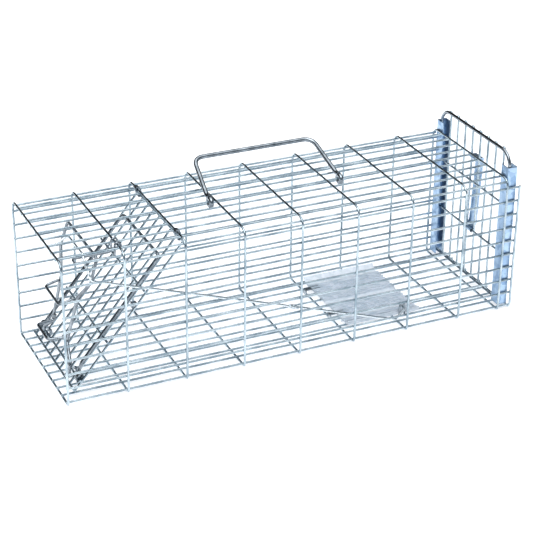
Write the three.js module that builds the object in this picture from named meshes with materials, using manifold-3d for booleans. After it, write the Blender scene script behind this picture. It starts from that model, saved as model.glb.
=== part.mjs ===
// A live catch trap: a welded wire cage with a sloping front door, a folding lock frame, a trip pan and rod,
// a rear sliding door with a sheet latch, and a carry handle. Lengths are in mm; x runs from the front hoop
// to the rear, y from the near side to the far side, z up from the ground.
import * as THREE from "three";
import { mergeVertices } from "three/addons/utils/BufferGeometryUtils.js";
import Module from "manifold-3d";

const wasm = await Module();
wasm.setup();

// Cage
const CAGE_WIDTH = 129;
const CAGE_HEIGHT = 127;
const HOOP_PITCH = 50.8;
const HOOPS_AT_PITCH = 8;
const LAST_HOOP_STEP = 40.4;
const END_POST_STEP = 12;
const MESH_PITCH = 12.7;
const FLOOR_WIRES = 11;
const WIRE = 2.0;
const CORNER_RADIUS = 8;

// Fits
const WELD = 0.3; // how far crossed wires are pressed into each other
const GAP = 0.3; // air left between two separate pieces that touch
const EASE = 0.6; // looser air round what slides or turns

// Front door
const DOOR_HOOP = 2;
const DOOR_TOE = 2; // x of the door's foot when it is shut
const DOOR_WIRES = 9;
const DOOR_TOP = 2.5; // from the hinge line to the door's top cross wire
const DOOR_ROW_PITCH = 50.8;
const LOCK_ROW_RISE = 8.8; // from the bottom cross wire up to the one the lock frame turns on
const BAND = 0.8; // sheet that clips are bent from
const CLIP_LENGTH = 5;
const HINGE_CLIP_Y = 3.5 * MESH_PITCH;

// Brace and lock frame on the door
const BRACE_ROD = 3;
const BRACE_HALF_WIDTH = 41.5;
const BRACE_TOP = 24; // below the hinge line
const BRACE_FOOT = 7;
const LOCK_ROD = 2.8;
const LOCK_HEADROOM = 15.2; // from the frame's top bar up to the cage's top
const LOCK_LEAN = 76.6; // degrees above the floor when the door is shut
const LOCK_FOOT_HALF_WIDTH = 34;
const LOCK_WAIST_HALF_WIDTH = 18.5;
const LOCK_SHOULDER_HALF_WIDTH = 21;
const LOCK_ELBOW_HALF_WIDTH = 37.5;
const LOCK_TOP_HALF_WIDTH = 36;
const LOCK_BOW = 3.6; // how far the waist stands in front of the line from foot to top
const FINGER_LOOP_ROD = 2.4;
const FINGER_LOOP_REACH = 15;
const FINGER_LOOP_DIP = 28; // degrees
const FOOT_LOOP_REACH = 15;
const FOOT_LOOP_HALF_WIDTH = 14;

// Trip pan, trip rod and its guide
const PAN_HOOP = 5;
const PAN_START = 5; // behind the hoop it hangs on
const PAN_LENGTH = 70;
const PAN_HALF_WIDTH = 42;
const PAN_SHEET = 0.8;
const PAN_FLANGE = 7;
const PAN_CLIP_TONGUE = 8;
const PAN_EYE_AT = 57; // behind the pan's hinge
const PAN_EYE_RISE = 12.5;
const PAN_EYE_ROD = 1.8;
const TRIP_ROD = 2.0;
const TRIP_ROD_INSET = 7.6; // from the cage's outside
const TRIP_ROD_FRONT_DROP = 23; // below the cage's top
const TRIP_ROD_REAR_Z = 9.7;
const LEG_SLANT = 1; // how far the front leg's foot stands behind its top
const TRIP_ROD_REAR_BACK = 14; // in front of the pan's eye
const CATCH_INSET = 6; // from the middle of the trap to the catch
const CATCH_DROP = 6.7; // below the cage's top
const CATCH_REACH = 13;
const CATCH_DIP = 6.8;
const GUIDE_ROD = 1.8;
const GUIDE_HOOP = 1;
const GUIDE_LENGTH = 35;
const GUIDE_LEG = 26.4; // from the guide's hoop to the rod's front leg
const GUIDE_DROP = 10;

// Rear door, its channels and latch
const CHANNEL_SHEET = 1.0;
const CHANNEL_FLANGE = 10.7;
const CHANNEL_RISE = 8; // above the cage
const REAR_ROD = 3;
const REAR_DOOR_RISE = 21; // above the cage
const REAR_CORNER_RADIUS = 13;
const REAR_DOOR_WIRES = 8;
const REAR_ROW_PITCH = 45.8;
const LATCH_SHEET = 0.8;
const LATCH_WIDTH = 12;
const LATCH_HEIGHT = 70;
const LATCH_TAB_WIDTH = 9;
const LATCH_REST = 2.5; // degrees it stands open of the hoop it catches

// Carry handle
const HANDLE_ROD = 4;
const HANDLE_HOOP = 3; // its front foot stands just in front of this hoop
const HANDLE_FOOT_HALF_SPAN = 59.5;
const HANDLE_TOP_HALF_SPAN = 55.1;
const HANDLE_LENGTH = 50;
const HANDLE_CORNER = 9;
const HANDLE_LEAN = 66.4; // degrees from upright, towards the far side

const SHARPEST_KINK = 0.6; // radians; a wire that turns less than this keeps its corner

// Worked out from the sizes above
const half = CAGE_WIDTH / 2;
const layer = 2 * WIRE - WELD;
const floorReach = half - 1.5 * WIRE - GAP;
const floorPitch = (2 * floorReach) / (FLOOR_WIRES - 1);
const lastHoop = (HOOPS_AT_PITCH - 1) * HOOP_PITCH + LAST_HOOP_STEP;
const endPost = lastHoop + END_POST_STEP;
const roofHoops = [...Array(HOOPS_AT_PITCH).keys()].map((i) => i * HOOP_PITCH).concat(lastHoop);
const floorHoops = roofHoops.concat(endPost);
const hingeX = DOOR_HOOP * HOOP_PITCH;
const hingeZ = CAGE_HEIGHT - WIRE / 2;
const doorSlope = Math.atan2(hingeZ - layer - WIRE, hingeX - DOOR_TOE);
const roofUnderside = layer - WIRE / 2; // below the hinge line
const doorDrop =
  (roofUnderside + EASE + WIRE * Math.SQRT1_2 - DOOR_TOP * Math.sin(doorSlope)) / Math.cos(doorSlope);
const doorLayer = doorDrop + WIRE - WELD;
const doorLength =
  (hingeZ - layer - EASE - (doorLayer + WIRE / 2) * Math.cos(doorSlope)) / Math.sin(doorSlope);
const lockRow = doorLength - WIRE / 2 - LOCK_ROW_RISE;
const panHingeX = PAN_HOOP * HOOP_PITCH;
const panEyeX = panHingeX + PAN_EYE_AT;
const channelFront = lastHoop + WIRE / 2 + GAP;
const channelBack = endPost - WIRE / 2 - GAP;
const rearDoorX = channelFront + CHANNEL_SHEET + EASE + REAR_ROD / 2;
const rearBottom = layer + EASE + WIRE / 2;

const rad = THREE.MathUtils.degToRad;
const v = (x, y, z) => new THREE.Vector3(x, y, z);

// A wire's middle line: its corners are sampled where they are, so short bends keep their shape.
class WirePath extends THREE.Curve {
  constructor(points) {
    super();
    this.points = points;
  }

  getPoint(t) {
    const last = this.points.length - 1;
    const at = THREE.MathUtils.clamp(t, 0, 1) * last;
    const i = Math.min(Math.floor(at), last - 1);
    return this.points[i].clone().lerp(this.points[i + 1], at - i);
  }

  getPointAt(t) {
    return this.getPoint(t);
  }

  getTangentAt(t) {
    return this.getTangent(t);
  }
}

// Rounds each corner of a bent wire that turns further than a kink.
function rounded(corners, radius) {
  const path = [corners[0]];
  for (let i = 1; i < corners.length - 1; i++) {
    const [a, b, c] = corners.slice(i - 1, i + 2);
    if (b.clone().sub(a).angleTo(c.clone().sub(b)) < SHARPEST_KINK) {
      path.push(b);
      continue;
    }
    const cut = Math.min(radius, 0.49 * a.distanceTo(b), 0.49 * b.distanceTo(c));
    const start = b.clone().add(a.clone().sub(b).setLength(cut));
    const end = b.clone().add(c.clone().sub(b).setLength(cut));
    path.push(...new THREE.QuadraticBezierCurve3(start, b, end).getPoints(3));
  }
  path.push(corners[corners.length - 1]);
  return path;
}

function roundShape(diameter) {
  const sides = 6;
  const points = [...Array(sides).keys()].map((i) => {
    const turn = ((i + 0.5) / sides) * 2 * Math.PI;
    return new THREE.Vector2(Math.cos(turn), Math.sin(turn)).multiplyScalar(diameter / 2);
  });
  return new THREE.Shape(points);
}

// A round wire along its corners, with rounded bends.
function rod(corners, diameter, bend = 2 * diameter) {
  const path = rounded(corners, bend);
  return new THREE.ExtrudeGeometry(roundShape(diameter), {
    steps: path.length - 1,
    extrudePath: new WirePath(path),
    bevelEnabled: false,
  });
}

// A box between two corners.
function box(lo, hi) {
  const size = hi.clone().sub(lo);
  const middle = lo.clone().add(hi).multiplyScalar(0.5);
  return new THREE.BoxGeometry(size.x, size.y, size.z).translate(middle.x, middle.y, middle.z);
}

// A square wire between two points along one axis.
function bar(from, to) {
  const r = WIRE / 2;
  const along = to.clone().sub(from);
  const side = v(along.x ? 0 : r, along.y ? 0 : r, along.z ? 0 : r);
  return box(from.clone().sub(side), to.clone().add(side));
}

// A flat shape drawn in x and z, given a width along y round a middle.
function acrossY(shape, width, middle = 0) {
  const geometry = new THREE.ExtrudeGeometry(shape, { depth: width, bevelEnabled: false, curveSegments: 6 });
  return geometry.rotateX(Math.PI / 2).translate(0, middle + width / 2, 0);
}

// A flat shape drawn in y and z, given a depth along x from a start.
function alongX(shape, from, to) {
  const depth = to - from;
  const geometry = new THREE.ExtrudeGeometry(shape, { depth, bevelEnabled: false, curveSegments: 4 });
  const turn = new THREE.Matrix4().makeBasis(v(0, 1, 0), v(0, 0, 1), v(1, 0, 0));
  return geometry.applyMatrix4(turn).translate(from, 0, 0);
}

function shapeOf(points) {
  return new THREE.Shape(points.map(([a, b]) => new THREE.Vector2(a, b)));
}

function solid(geometry) {
  const bare = geometry.clone();
  bare.deleteAttribute("normal");
  bare.deleteAttribute("uv");
  const merged = mergeVertices(bare, 1e-4);
  return new wasm.Manifold(
    new wasm.Mesh({
      numProp: 3,
      vertProperties: new Float32Array(merged.attributes.position.array),
      triVerts: new Uint32Array(merged.index.array),
    }),
  );
}

function joined(geometries, cuts = []) {
  let whole = geometries.map(solid).reduce((a, b) => a.add(b));
  for (const cut of cuts) {
    whole = whole.subtract(solid(cut));
  }
  const mesh = whole.getMesh();
  const geometry = new THREE.BufferGeometry();
  geometry.setAttribute("position", new THREE.BufferAttribute(mesh.vertProperties, 3));
  geometry.setIndex(new THREE.BufferAttribute(mesh.triVerts, 1));
  return geometry;
}

const trap = new THREE.Group();
trap.name = "live_catch_trap";
trap.position.x = (WIRE / 2 - (endPost + WIRE / 2)) / 2;

function piece(name, geometry, color, parent = trap) {
  const material = new THREE.MeshStandardMaterial({ color, metalness: 0.9, roughness: 0.4 });
  material.name = name + "_material";
  const mesh = new THREE.Mesh(geometry, material);
  mesh.name = name;
  parent.add(mesh);
}

function frameAt(x, y, z) {
  const group = new THREE.Group();
  group.position.set(x, y, z);
  trap.add(group);
  return group;
}

const ZINC = 0xb9c3c9;
const ROD = 0xa7aeb2;
const CLIP = 0x7d858b;

// Positions of n wires spread evenly from -reach to reach.
function spread(n, reach) {
  return [...Array(n).keys()].map((i) => -reach + (2 * reach * i) / (n - 1));
}

// --- cage ----------------------------------------------------------------------------------------

function floorGrille() {
  const hoops = floorHoops.map((x) => bar(v(x, -half, WIRE / 2), v(x, half, WIRE / 2)));
  const wires = spread(FLOOR_WIRES, floorReach).map((y) =>
    bar(v(-WIRE / 2, y, layer - WIRE / 2), v(endPost + WIRE / 2, y, layer - WIRE / 2)),
  );
  return joined([...hoops, ...wires]);
}

// One hoop's top with its two bent corners, drawn in y and z.
function hoopTop() {
  const shape = new THREE.Shape();
  const foot = CAGE_HEIGHT - CORNER_RADIUS;
  const middle = half - CORNER_RADIUS;
  const inner = CORNER_RADIUS - WIRE;
  shape.moveTo(half, foot);
  shape.absarc(middle, foot, CORNER_RADIUS, 0, Math.PI / 2);
  shape.lineTo(-middle, CAGE_HEIGHT);
  shape.absarc(-middle, foot, CORNER_RADIUS, Math.PI / 2, Math.PI);
  shape.lineTo(-half + WIRE, foot);
  shape.absarc(-middle, foot, inner, Math.PI, Math.PI / 2, true);
  shape.lineTo(middle, CAGE_HEIGHT - WIRE);
  shape.absarc(middle, foot, inner, Math.PI / 2, 0, true);
  return shape;
}

function roofGrille() {
  const hoops = roofHoops.map((x) => alongX(hoopTop(), x - WIRE / 2, x + WIRE / 2));
  const count = Math.floor((half - CORNER_RADIUS - WIRE / 2) / MESH_PITCH);
  const flat = spread(2 * count + 1, count * MESH_PITCH).map((y) => [y, CAGE_HEIGHT - layer + WIRE / 2]);
  const inset = CORNER_RADIUS - (CORNER_RADIUS - layer + WIRE / 2) * Math.SQRT1_2;
  const corners = [-1, 1].map((side) => [side * (half - inset), CAGE_HEIGHT - inset]);
  const wires = [...flat, ...corners].map(([y, z]) => bar(v(-WIRE / 2, y, z), v(lastHoop + WIRE / 2, y, z)));
  return joined([...hoops, ...wires]);
}

function sideGrille(side) {
  const top = CAGE_HEIGHT - CORNER_RADIUS - GAP;
  const y = side * (half - WIRE / 2);
  const posts = floorHoops.map((x) => bar(v(x, y, WIRE + GAP), v(x, y, top)));
  const inner = side * (half - layer + WIRE / 2);
  const first = layer - WIRE / 2 + MESH_PITCH;
  const count = 1 + Math.floor((top - WIRE / 2 - first) / MESH_PITCH);
  const wires = [...Array(count).keys()].map((i) =>
    bar(v(-WIRE / 2, inner, first + i * MESH_PITCH), v(endPost + WIRE / 2, inner, first + i * MESH_PITCH)),
  );
  return joined([...posts, ...wires]);
}

// A U channel open towards the middle of the trap.
function channel(side) {
  const web = side * (half - layer - GAP);
  const lip = web - side * CHANNEL_FLANGE;
  const low = layer + GAP;
  const high = CAGE_HEIGHT + CHANNEL_RISE;
  const slab = (x0, x1, y0, y1) => box(v(x0, Math.min(y0, y1), low), v(x1, Math.max(y0, y1), high));
  return joined([
    slab(channelFront, channelBack, web, web - side * CHANNEL_SHEET),
    slab(channelFront, channelFront + CHANNEL_SHEET, web, lip),
    slab(channelBack - CHANNEL_SHEET, channelBack, web, lip),
  ]);
}

// A wire hairpin hooked over a hoop, which the trip rod's front leg passes through.
function rodGuide() {
  const hoop = GUIDE_HOOP * HOOP_PITCH;
  const z = CAGE_HEIGHT - GUIDE_DROP;
  const reach = WIRE / 2 + EASE + GUIDE_ROD / 2;
  const room = MESH_PITCH / 2 - WIRE / 2 - GAP - GUIDE_ROD / 2;
  const middle = -3.5 * MESH_PITCH;
  const hook = (y) => [
    v(hoop + reach, y, hingeZ - 0.5 * reach),
    v(hoop + reach, y, hingeZ + reach),
    v(hoop - reach, y, hingeZ + reach),
    v(hoop - reach, y, z),
    v(hoop - GUIDE_LENGTH, y, z),
  ];
  const ends = [hook(middle - room), hook(middle + room).reverse()];
  return rod(ends.flat(), GUIDE_ROD, 2.4);
}

// A flat band bent round two round wires at a and b, drawn in x and z.
function bandRound(a, b, inner, width, middle) {
  const turn = Math.atan2(b.y - a.y, b.x - a.x);
  const outline = (r, Path) => {
    const path = new Path();
    path.absarc(a.x, a.y, r, turn + Math.PI / 2, turn + 1.5 * Math.PI);
    path.absarc(b.x, b.y, r, turn - Math.PI / 2, turn + Math.PI / 2);
    path.closePath();
    return path;
  };
  const shape = outline(inner + BAND, THREE.Shape);
  shape.holes.push(outline(inner, THREE.Path));
  return acrossY(shape, width, middle);
}

// A clip crimped round the far bottom corner of the hoop the door hangs on.
function cornerClip() {
  const inside = WIRE / 2 + GAP;
  const inner = half - layer;
  const low = layer + EASE;
  const high = low + CLIP_LENGTH;
  const band = box(v(hingeX - inside - BAND, inner, low), v(hingeX + WIRE + BAND, half + GAP + BAND, high));
  const hole = box(v(hingeX - inside, half - WIRE - GAP, low - 1), v(hingeX + WIRE, half + GAP, high + 1));
  return joined([band], [hole]);
}

piece("floor_grille", floorGrille(), ZINC);
piece("roof_grille", roofGrille(), ZINC);
piece("side_grille_near", sideGrille(-1), ZINC);
piece("side_grille_far", sideGrille(1), ZINC);
piece("channel_near", channel(-1), ZINC);
piece("channel_far", channel(1), ZINC);
piece("rod_guide", rodGuide(), ROD);
piece("corner_clip", cornerClip(), CLIP);

// --- front door: drawn flat, x up along the door from its hinge line, z out of its face ----------

const door = frameAt(hingeX, 0, hingeZ);
door.rotation.y = -doorSlope;
const rowZ = -doorDrop;
const doorHalf = ((DOOR_WIRES - 1) / 2) * MESH_PITCH;

function doorPanel() {
  const bottom = doorLength - WIRE / 2;
  const rows = [DOOR_TOP, DOOR_TOP + DOOR_ROW_PITCH, DOOR_TOP + 2 * DOOR_ROW_PITCH, lockRow, bottom];
  const reach = doorHalf + WIRE / 2;
  const cross = rows.map((a) => bar(v(-a, -reach, rowZ), v(-a, reach, rowZ)));
  const wires = spread(DOOR_WIRES, doorHalf).map((y) =>
    bar(v(-doorLength, y, -doorLayer), v(-DOOR_TOP + WIRE / 2, y, -doorLayer)),
  );
  return joined([...cross, ...wires]);
}

const braceZ = rowZ + WIRE / 2 + GAP + BRACE_ROD / 2;
const footX = -lockRow + WIRE / 2 + GAP + BRACE_ROD / 2;

function doorBrace() {
  const y = BRACE_HALF_WIDTH;
  return rod(
    [
      v(footX, -y - BRACE_FOOT, rowZ),
      v(footX, -y, rowZ),
      v(footX + 3 * BRACE_ROD, -y, braceZ),
      v(-BRACE_TOP, -y, braceZ),
      v(-BRACE_TOP, y, braceZ),
      v(footX + 3 * BRACE_ROD, y, braceZ),
      v(footX, y, rowZ),
      v(footX, y + BRACE_FOOT, rowZ),
    ],
    BRACE_ROD,
    4,
  );
}

// A clip round the hoop's top and the door's top cross wire.
function hingeClip(side) {
  const square = WIRE * Math.SQRT1_2 + GAP;
  const axle = new THREE.Vector2(0, 0);
  const row = new THREE.Vector2(-DOOR_TOP, rowZ);
  return bandRound(axle, row, square, CLIP_LENGTH, side * HINGE_CLIP_Y);
}

// A clip round the lock row and one foot of the brace.
function lockClip(side) {
  const row = new THREE.Vector2(-lockRow, rowZ);
  const foot = new THREE.Vector2(footX, rowZ);
  const middle = side * (BRACE_HALF_WIDTH + BRACE_FOOT - CLIP_LENGTH / 2 + GAP);
  return bandRound(row, foot, BRACE_ROD / 2 + GAP, CLIP_LENGTH, middle);
}

piece("door_panel", doorPanel(), ZINC, door);
piece("door_brace", doorBrace(), ROD, door);
for (const [name, side] of [["near", -1], ["far", 1]]) {
  piece("hinge_clip_" + name, hingeClip(side), CLIP, door);
  piece("lock_clip_" + name, lockClip(side), CLIP, door);
}

// --- lock frame: drawn flat, x up along it from the cross wire it turns on, z out of the trap's front 

const lockX = hingeX - lockRow * Math.cos(doorSlope) - rowZ * Math.sin(doorSlope);
const lockZ = hingeZ - lockRow * Math.sin(doorSlope) + rowZ * Math.cos(doorSlope);
const lockReach = (CAGE_HEIGHT - LOCK_HEADROOM - lockZ) / Math.sin(rad(LOCK_LEAN));
const waist = 0.19 * lockReach;
const shoulder = 0.59 * lockReach;
const elbow = 0.79 * lockReach;
const shoulderBow = 0.8 * LOCK_BOW;
const lock = frameAt(lockX, 0, lockZ);
lock.rotation.y = -rad(LOCK_LEAN);

function lockFrame() {
  const eye = WIRE * Math.SQRT1_2 + EASE + LOCK_ROD / 2;
  const hook = (side) =>
    [...Array(9).keys()].map((i) => {
      const turn = Math.PI / 2 + (i / 8) * 1.5 * Math.PI;
      return v(eye * Math.cos(turn), side * LOCK_FOOT_HALF_WIDTH, eye * Math.sin(turn));
    });
  const leg = (side) => [
    ...hook(side).reverse(),
    v(eye + LOCK_ROD, side * LOCK_FOOT_HALF_WIDTH, eye),
    v(waist, side * LOCK_WAIST_HALF_WIDTH, LOCK_BOW),
    v(shoulder, side * LOCK_SHOULDER_HALF_WIDTH, shoulderBow),
    v(elbow, side * LOCK_ELBOW_HALF_WIDTH, 0.4 * LOCK_BOW),
    v(lockReach, side * LOCK_TOP_HALF_WIDTH, 0),
  ];
  return rod([...leg(-1), ...leg(1).reverse()], LOCK_ROD, 4);
}

// The loop a finger pulls, standing out of the trap's front from the frame's shoulders.
function fingerLoop() {
  const y = LOCK_SHOULDER_HALF_WIDTH - LOCK_ROD / 2 - GAP - FINGER_LOOP_ROD / 2;
  const dip = rad(FINGER_LOOP_DIP);
  const foot = 0.97 * shoulder;
  const end = v(foot - FINGER_LOOP_REACH * Math.sin(dip), 0, shoulderBow + FINGER_LOOP_REACH * Math.cos(dip));
  return rod(
    [
      v(foot - 5, -y, shoulderBow),
      v(foot, -y, shoulderBow),
      v(end.x, -y, end.z),
      v(end.x, y, end.z),
      v(foot, y, shoulderBow),
      v(foot - 5, y, shoulderBow),
    ],
    FINGER_LOOP_ROD,
    3,
  );
}

// The lower loop, from the frame's waist out to the front hoop.
function footLoop() {
  const y = LOCK_WAIST_HALF_WIDTH - LOCK_ROD / 2 - GAP - FINGER_LOOP_ROD / 2;
  const lean = rad(90 - LOCK_LEAN);
  const x = waist + 2;
  const end = v(x - FOOT_LOOP_REACH * Math.sin(lean), 0, LOCK_BOW + FOOT_LOOP_REACH * Math.cos(lean));
  return rod(
    [
      v(x + 5, -y, LOCK_BOW),
      v(x, -y, LOCK_BOW),
      v(end.x, -FOOT_LOOP_HALF_WIDTH, end.z),
      v(end.x, FOOT_LOOP_HALF_WIDTH, end.z),
      v(x, y, LOCK_BOW),
      v(x + 5, y, LOCK_BOW),
    ],
    FINGER_LOOP_ROD,
    3,
  );
}

piece("lock_frame", lockFrame(), ROD, lock);
piece("finger_loop", fingerLoop(), ROD, lock);
piece("foot_loop", footLoop(), ROD, lock);

// --- trip pan and trip rod -----------------------------------------------------------------------

const panZ = layer + GAP;

function panPlate() {
  const y = PAN_HALF_WIDTH;
  const t = PAN_SHEET;
  const out = PAN_FLANGE * Math.SQRT1_2;
  const shape = shapeOf([
    [-y, panZ],
    [y, panZ],
    [y + out, panZ + out],
    [y + out - t * Math.SQRT1_2, panZ + out + t * Math.SQRT1_2],
    [y - 0.4 * t, panZ + t],
    [-y + t, panZ + t],
    [-y + t, panZ + t + PAN_FLANGE / 2],
    [-y, panZ + t + PAN_FLANGE / 2],
  ]);
  return alongX(shape, panHingeX + PAN_START, panHingeX + PAN_START + PAN_LENGTH);
}

// A strap over the hoop's floor member, with its tongue on the plate.
function panClip(y) {
  const t = BAND;
  const front = panHingeX - WIRE / 2 - GAP;
  const under = panZ + PAN_SHEET + GAP;
  const back = panHingeX + PAN_START + PAN_CLIP_TONGUE;
  const shape = shapeOf([
    [front - t, EASE],
    [front, EASE],
    [front, under],
    [back, under],
    [back, under + t],
    [front - t, under + t],
  ]);
  return acrossY(shape, CLIP_LENGTH, y);
}

const eyeY = -PAN_HALF_WIDTH - GAP - PAN_EYE_ROD / 2;

// A wire eye standing on the pan's near edge.
function panEye() {
  const r = TRIP_ROD / 2 + EASE + PAN_EYE_ROD / 2;
  const foot = v(panEyeX - r, eyeY, panZ + PAN_EYE_ROD / 2);
  const arc = [...Array(7).keys()].map((i) => {
    const turn = Math.PI - (i / 6) * Math.PI;
    return v(panEyeX + r * Math.cos(turn), eyeY, PAN_EYE_RISE + r * Math.sin(turn));
  });
  return rod([foot, ...arc, v(panEyeX + r, eyeY, foot.z)], PAN_EYE_ROD, 0.1);
}

const rodY = -half + TRIP_ROD_INSET;
const legX = GUIDE_HOOP * HOOP_PITCH - GUIDE_LEG;
const rodFront = v(legX + LEG_SLANT, rodY, CAGE_HEIGHT - TRIP_ROD_FRONT_DROP);
const rodRear = v(panEyeX - TRIP_ROD_REAR_BACK, rodY, TRIP_ROD_REAR_Z);

function tripRod() {
  const catchZ = CAGE_HEIGHT - CATCH_DROP;
  const guideY = -3.5 * MESH_PITCH;
  const guideZ = CAGE_HEIGHT - GUIDE_DROP;
  const rise = catchZ - guideZ;
  return rod(
    [
      v(panEyeX, eyeY + 5, PAN_EYE_RISE),
      v(panEyeX, eyeY - 4, PAN_EYE_RISE),
      rodRear,
      rodFront,
      v(legX, rodY + 1, guideZ - 8),
      v(legX, guideY + 0.2 * GUIDE_ROD - rise, guideZ - rise),
      v(legX, guideY + 0.4 * GUIDE_ROD + rise, catchZ),
      v(legX, -CATCH_INSET, catchZ),
      v(legX - CATCH_REACH, -CATCH_INSET, catchZ - CATCH_DIP),
    ],
    TRIP_ROD,
    3,
  );
}

// A sleeve crimped on the rod, where its two lengths meet.
function rodSleeve() {
  const at = rodRear.clone().lerp(rodFront, 0.36);
  const along = rodFront.clone().sub(rodRear).normalize();
  const tube = new THREE.LatheGeometry(
    [
      [TRIP_ROD / 2 + GAP, -4],
      [TRIP_ROD / 2 + GAP + BAND, -4],
      [TRIP_ROD / 2 + GAP + BAND, 4],
      [TRIP_ROD / 2 + GAP, 4],
      [TRIP_ROD / 2 + GAP, -4],
    ].map(([r, z]) => new THREE.Vector2(r, z)),
    10,
  );
  const turn = new THREE.Quaternion().setFromUnitVectors(v(0, 1, 0), along);
  return tube.applyQuaternion(turn).translate(at.x, at.y, at.z);
}

piece("pan_plate", panPlate(), ZINC);
piece("pan_clip_near", panClip(-1.5 * floorPitch), CLIP);
piece("pan_clip_far", panClip(2.5 * floorPitch), CLIP);
piece("pan_eye", panEye(), ROD);
piece("trip_rod", tripRod(), ROD);
piece("rod_sleeve", rodSleeve(), CLIP);

// --- rear door and its latch ---------------------------------------------------------------------

const rearHalf = half - layer - GAP - CHANNEL_SHEET - EASE - REAR_ROD / 2;
const rearTop = CAGE_HEIGHT + REAR_DOOR_RISE - REAR_ROD / 2;
const rearWireX = rearDoorX + REAR_ROD / 2 + WIRE / 2 - WELD;

function rearDoor() {
  const corners = [
    v(rearDoorX, -rearHalf, rearBottom),
    v(rearDoorX, -rearHalf, rearTop),
    v(rearDoorX, rearHalf, rearTop),
    v(rearDoorX, rearHalf, rearBottom),
  ];
  const frame = rod(corners, REAR_ROD, REAR_CORNER_RADIUS);
  const rows = [0, 1, 2].map((i) => {
    const z = rearBottom + WIRE / 2 + i * REAR_ROW_PITCH;
    return bar(v(rearDoorX, -rearHalf, z), v(rearDoorX, rearHalf, z));
  });
  const wires = spread(REAR_DOOR_WIRES, ((REAR_DOOR_WIRES - 1) / 2) * MESH_PITCH).map((y) =>
    bar(v(rearWireX - WELD, y, rearBottom), v(rearWireX - WELD, y, rearTop)),
  );
  return joined([frame, ...rows, ...wires]);
}

const latch = frameAt(rearDoorX, 0, rearBottom + WIRE / 2 + REAR_ROW_PITCH);
latch.rotation.y = rad(LATCH_REST);

// A sheet strip curled round a cross wire at its foot, with a tab bent forward at its top.
function latchStrip() {
  const inner = WIRE * Math.SQRT1_2 + GAP;
  const outer = inner + LATCH_SHEET;
  const front = rearWireX - WELD + WIRE / 2 + GAP - rearDoorX;
  const back = front + LATCH_SHEET;
  const curl = new THREE.Shape();
  curl.absarc(0, 0, outer, 0.1 * Math.PI, 1.8 * Math.PI);
  curl.absarc(0, 0, inner, 1.8 * Math.PI, 0.1 * Math.PI, true);
  curl.closePath();
  const neck = shapeOf([[inner + 0.2, 0], [back, 4], [back, 9], [front, 9], [front, 5], [inner, 1.2]]);
  const strip = shapeOf([[front, 7], [back, 7], [back, LATCH_HEIGHT], [front, LATCH_HEIGHT]]);
  const lean = rad(LATCH_REST);
  const tip = (lastHoop + WIRE / 2 + EASE - rearDoorX - LATCH_HEIGHT * Math.sin(lean)) / Math.cos(lean);
  const tab = shapeOf([
    [tip, LATCH_HEIGHT - LATCH_SHEET],
    [back, LATCH_HEIGHT - LATCH_SHEET],
    [back, LATCH_HEIGHT],
    [tip, LATCH_HEIGHT],
  ]);
  return joined([
    acrossY(curl, LATCH_TAB_WIDTH),
    acrossY(neck, LATCH_TAB_WIDTH),
    acrossY(strip, LATCH_WIDTH),
    acrossY(tab, LATCH_TAB_WIDTH),
  ]);
}

piece("rear_door_panel", rearDoor(), ZINC);
piece("latch_strip", latchStrip(), ZINC, latch);

// --- carry handle --------------------------------------------------------------------------------

const handleFront = HANDLE_HOOP * HOOP_PITCH - WIRE / 2 - EASE - HANDLE_ROD / 2;
const handle = frameAt(handleFront + HANDLE_FOOT_HALF_SPAN, 0, CAGE_HEIGHT - layer + WIRE / 2);
handle.rotation.x = -rad(HANDLE_LEAN);

function carryHandle() {
  const ring = WIRE * Math.SQRT1_2 + GAP + HANDLE_ROD / 2;
  const foot = HANDLE_FOOT_HALF_SPAN;
  const bail = rod(
    [
      v(-foot, 0, ring),
      v(-HANDLE_TOP_HALF_SPAN, 0, HANDLE_LENGTH),
      v(HANDLE_TOP_HALF_SPAN, 0, HANDLE_LENGTH),
      v(foot, 0, ring),
    ],
    HANDLE_ROD,
    HANDLE_CORNER,
  );
  const eyes = [-foot, foot].map((x) =>
    new THREE.TorusGeometry(ring, HANDLE_ROD / 2, 6, 12).rotateY(Math.PI / 2).translate(x, 0, 0),
  );
  return joined([bail, ...eyes]);
}

piece("carry_handle", carryHandle(), ROD, handle);

export default trap;
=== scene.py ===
# %% [markdown]
# # A live catch trap of welded wire
# The trap is a cage of zinc coated wire with a door at each end. The front door slopes down inside the
# cage and a folding frame locks it shut. A pan on the floor pulls a long rod that holds the door up until
# an animal treads on it. The rear door slides up in two channels, and a bail handle carries the lot.
#
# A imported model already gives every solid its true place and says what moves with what. This script
# keeps that model as a frame and builds the wires, bands and sheets that are seen on it.

import math

import bmesh
import bpy
from mathutils import Matrix, Vector


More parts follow.
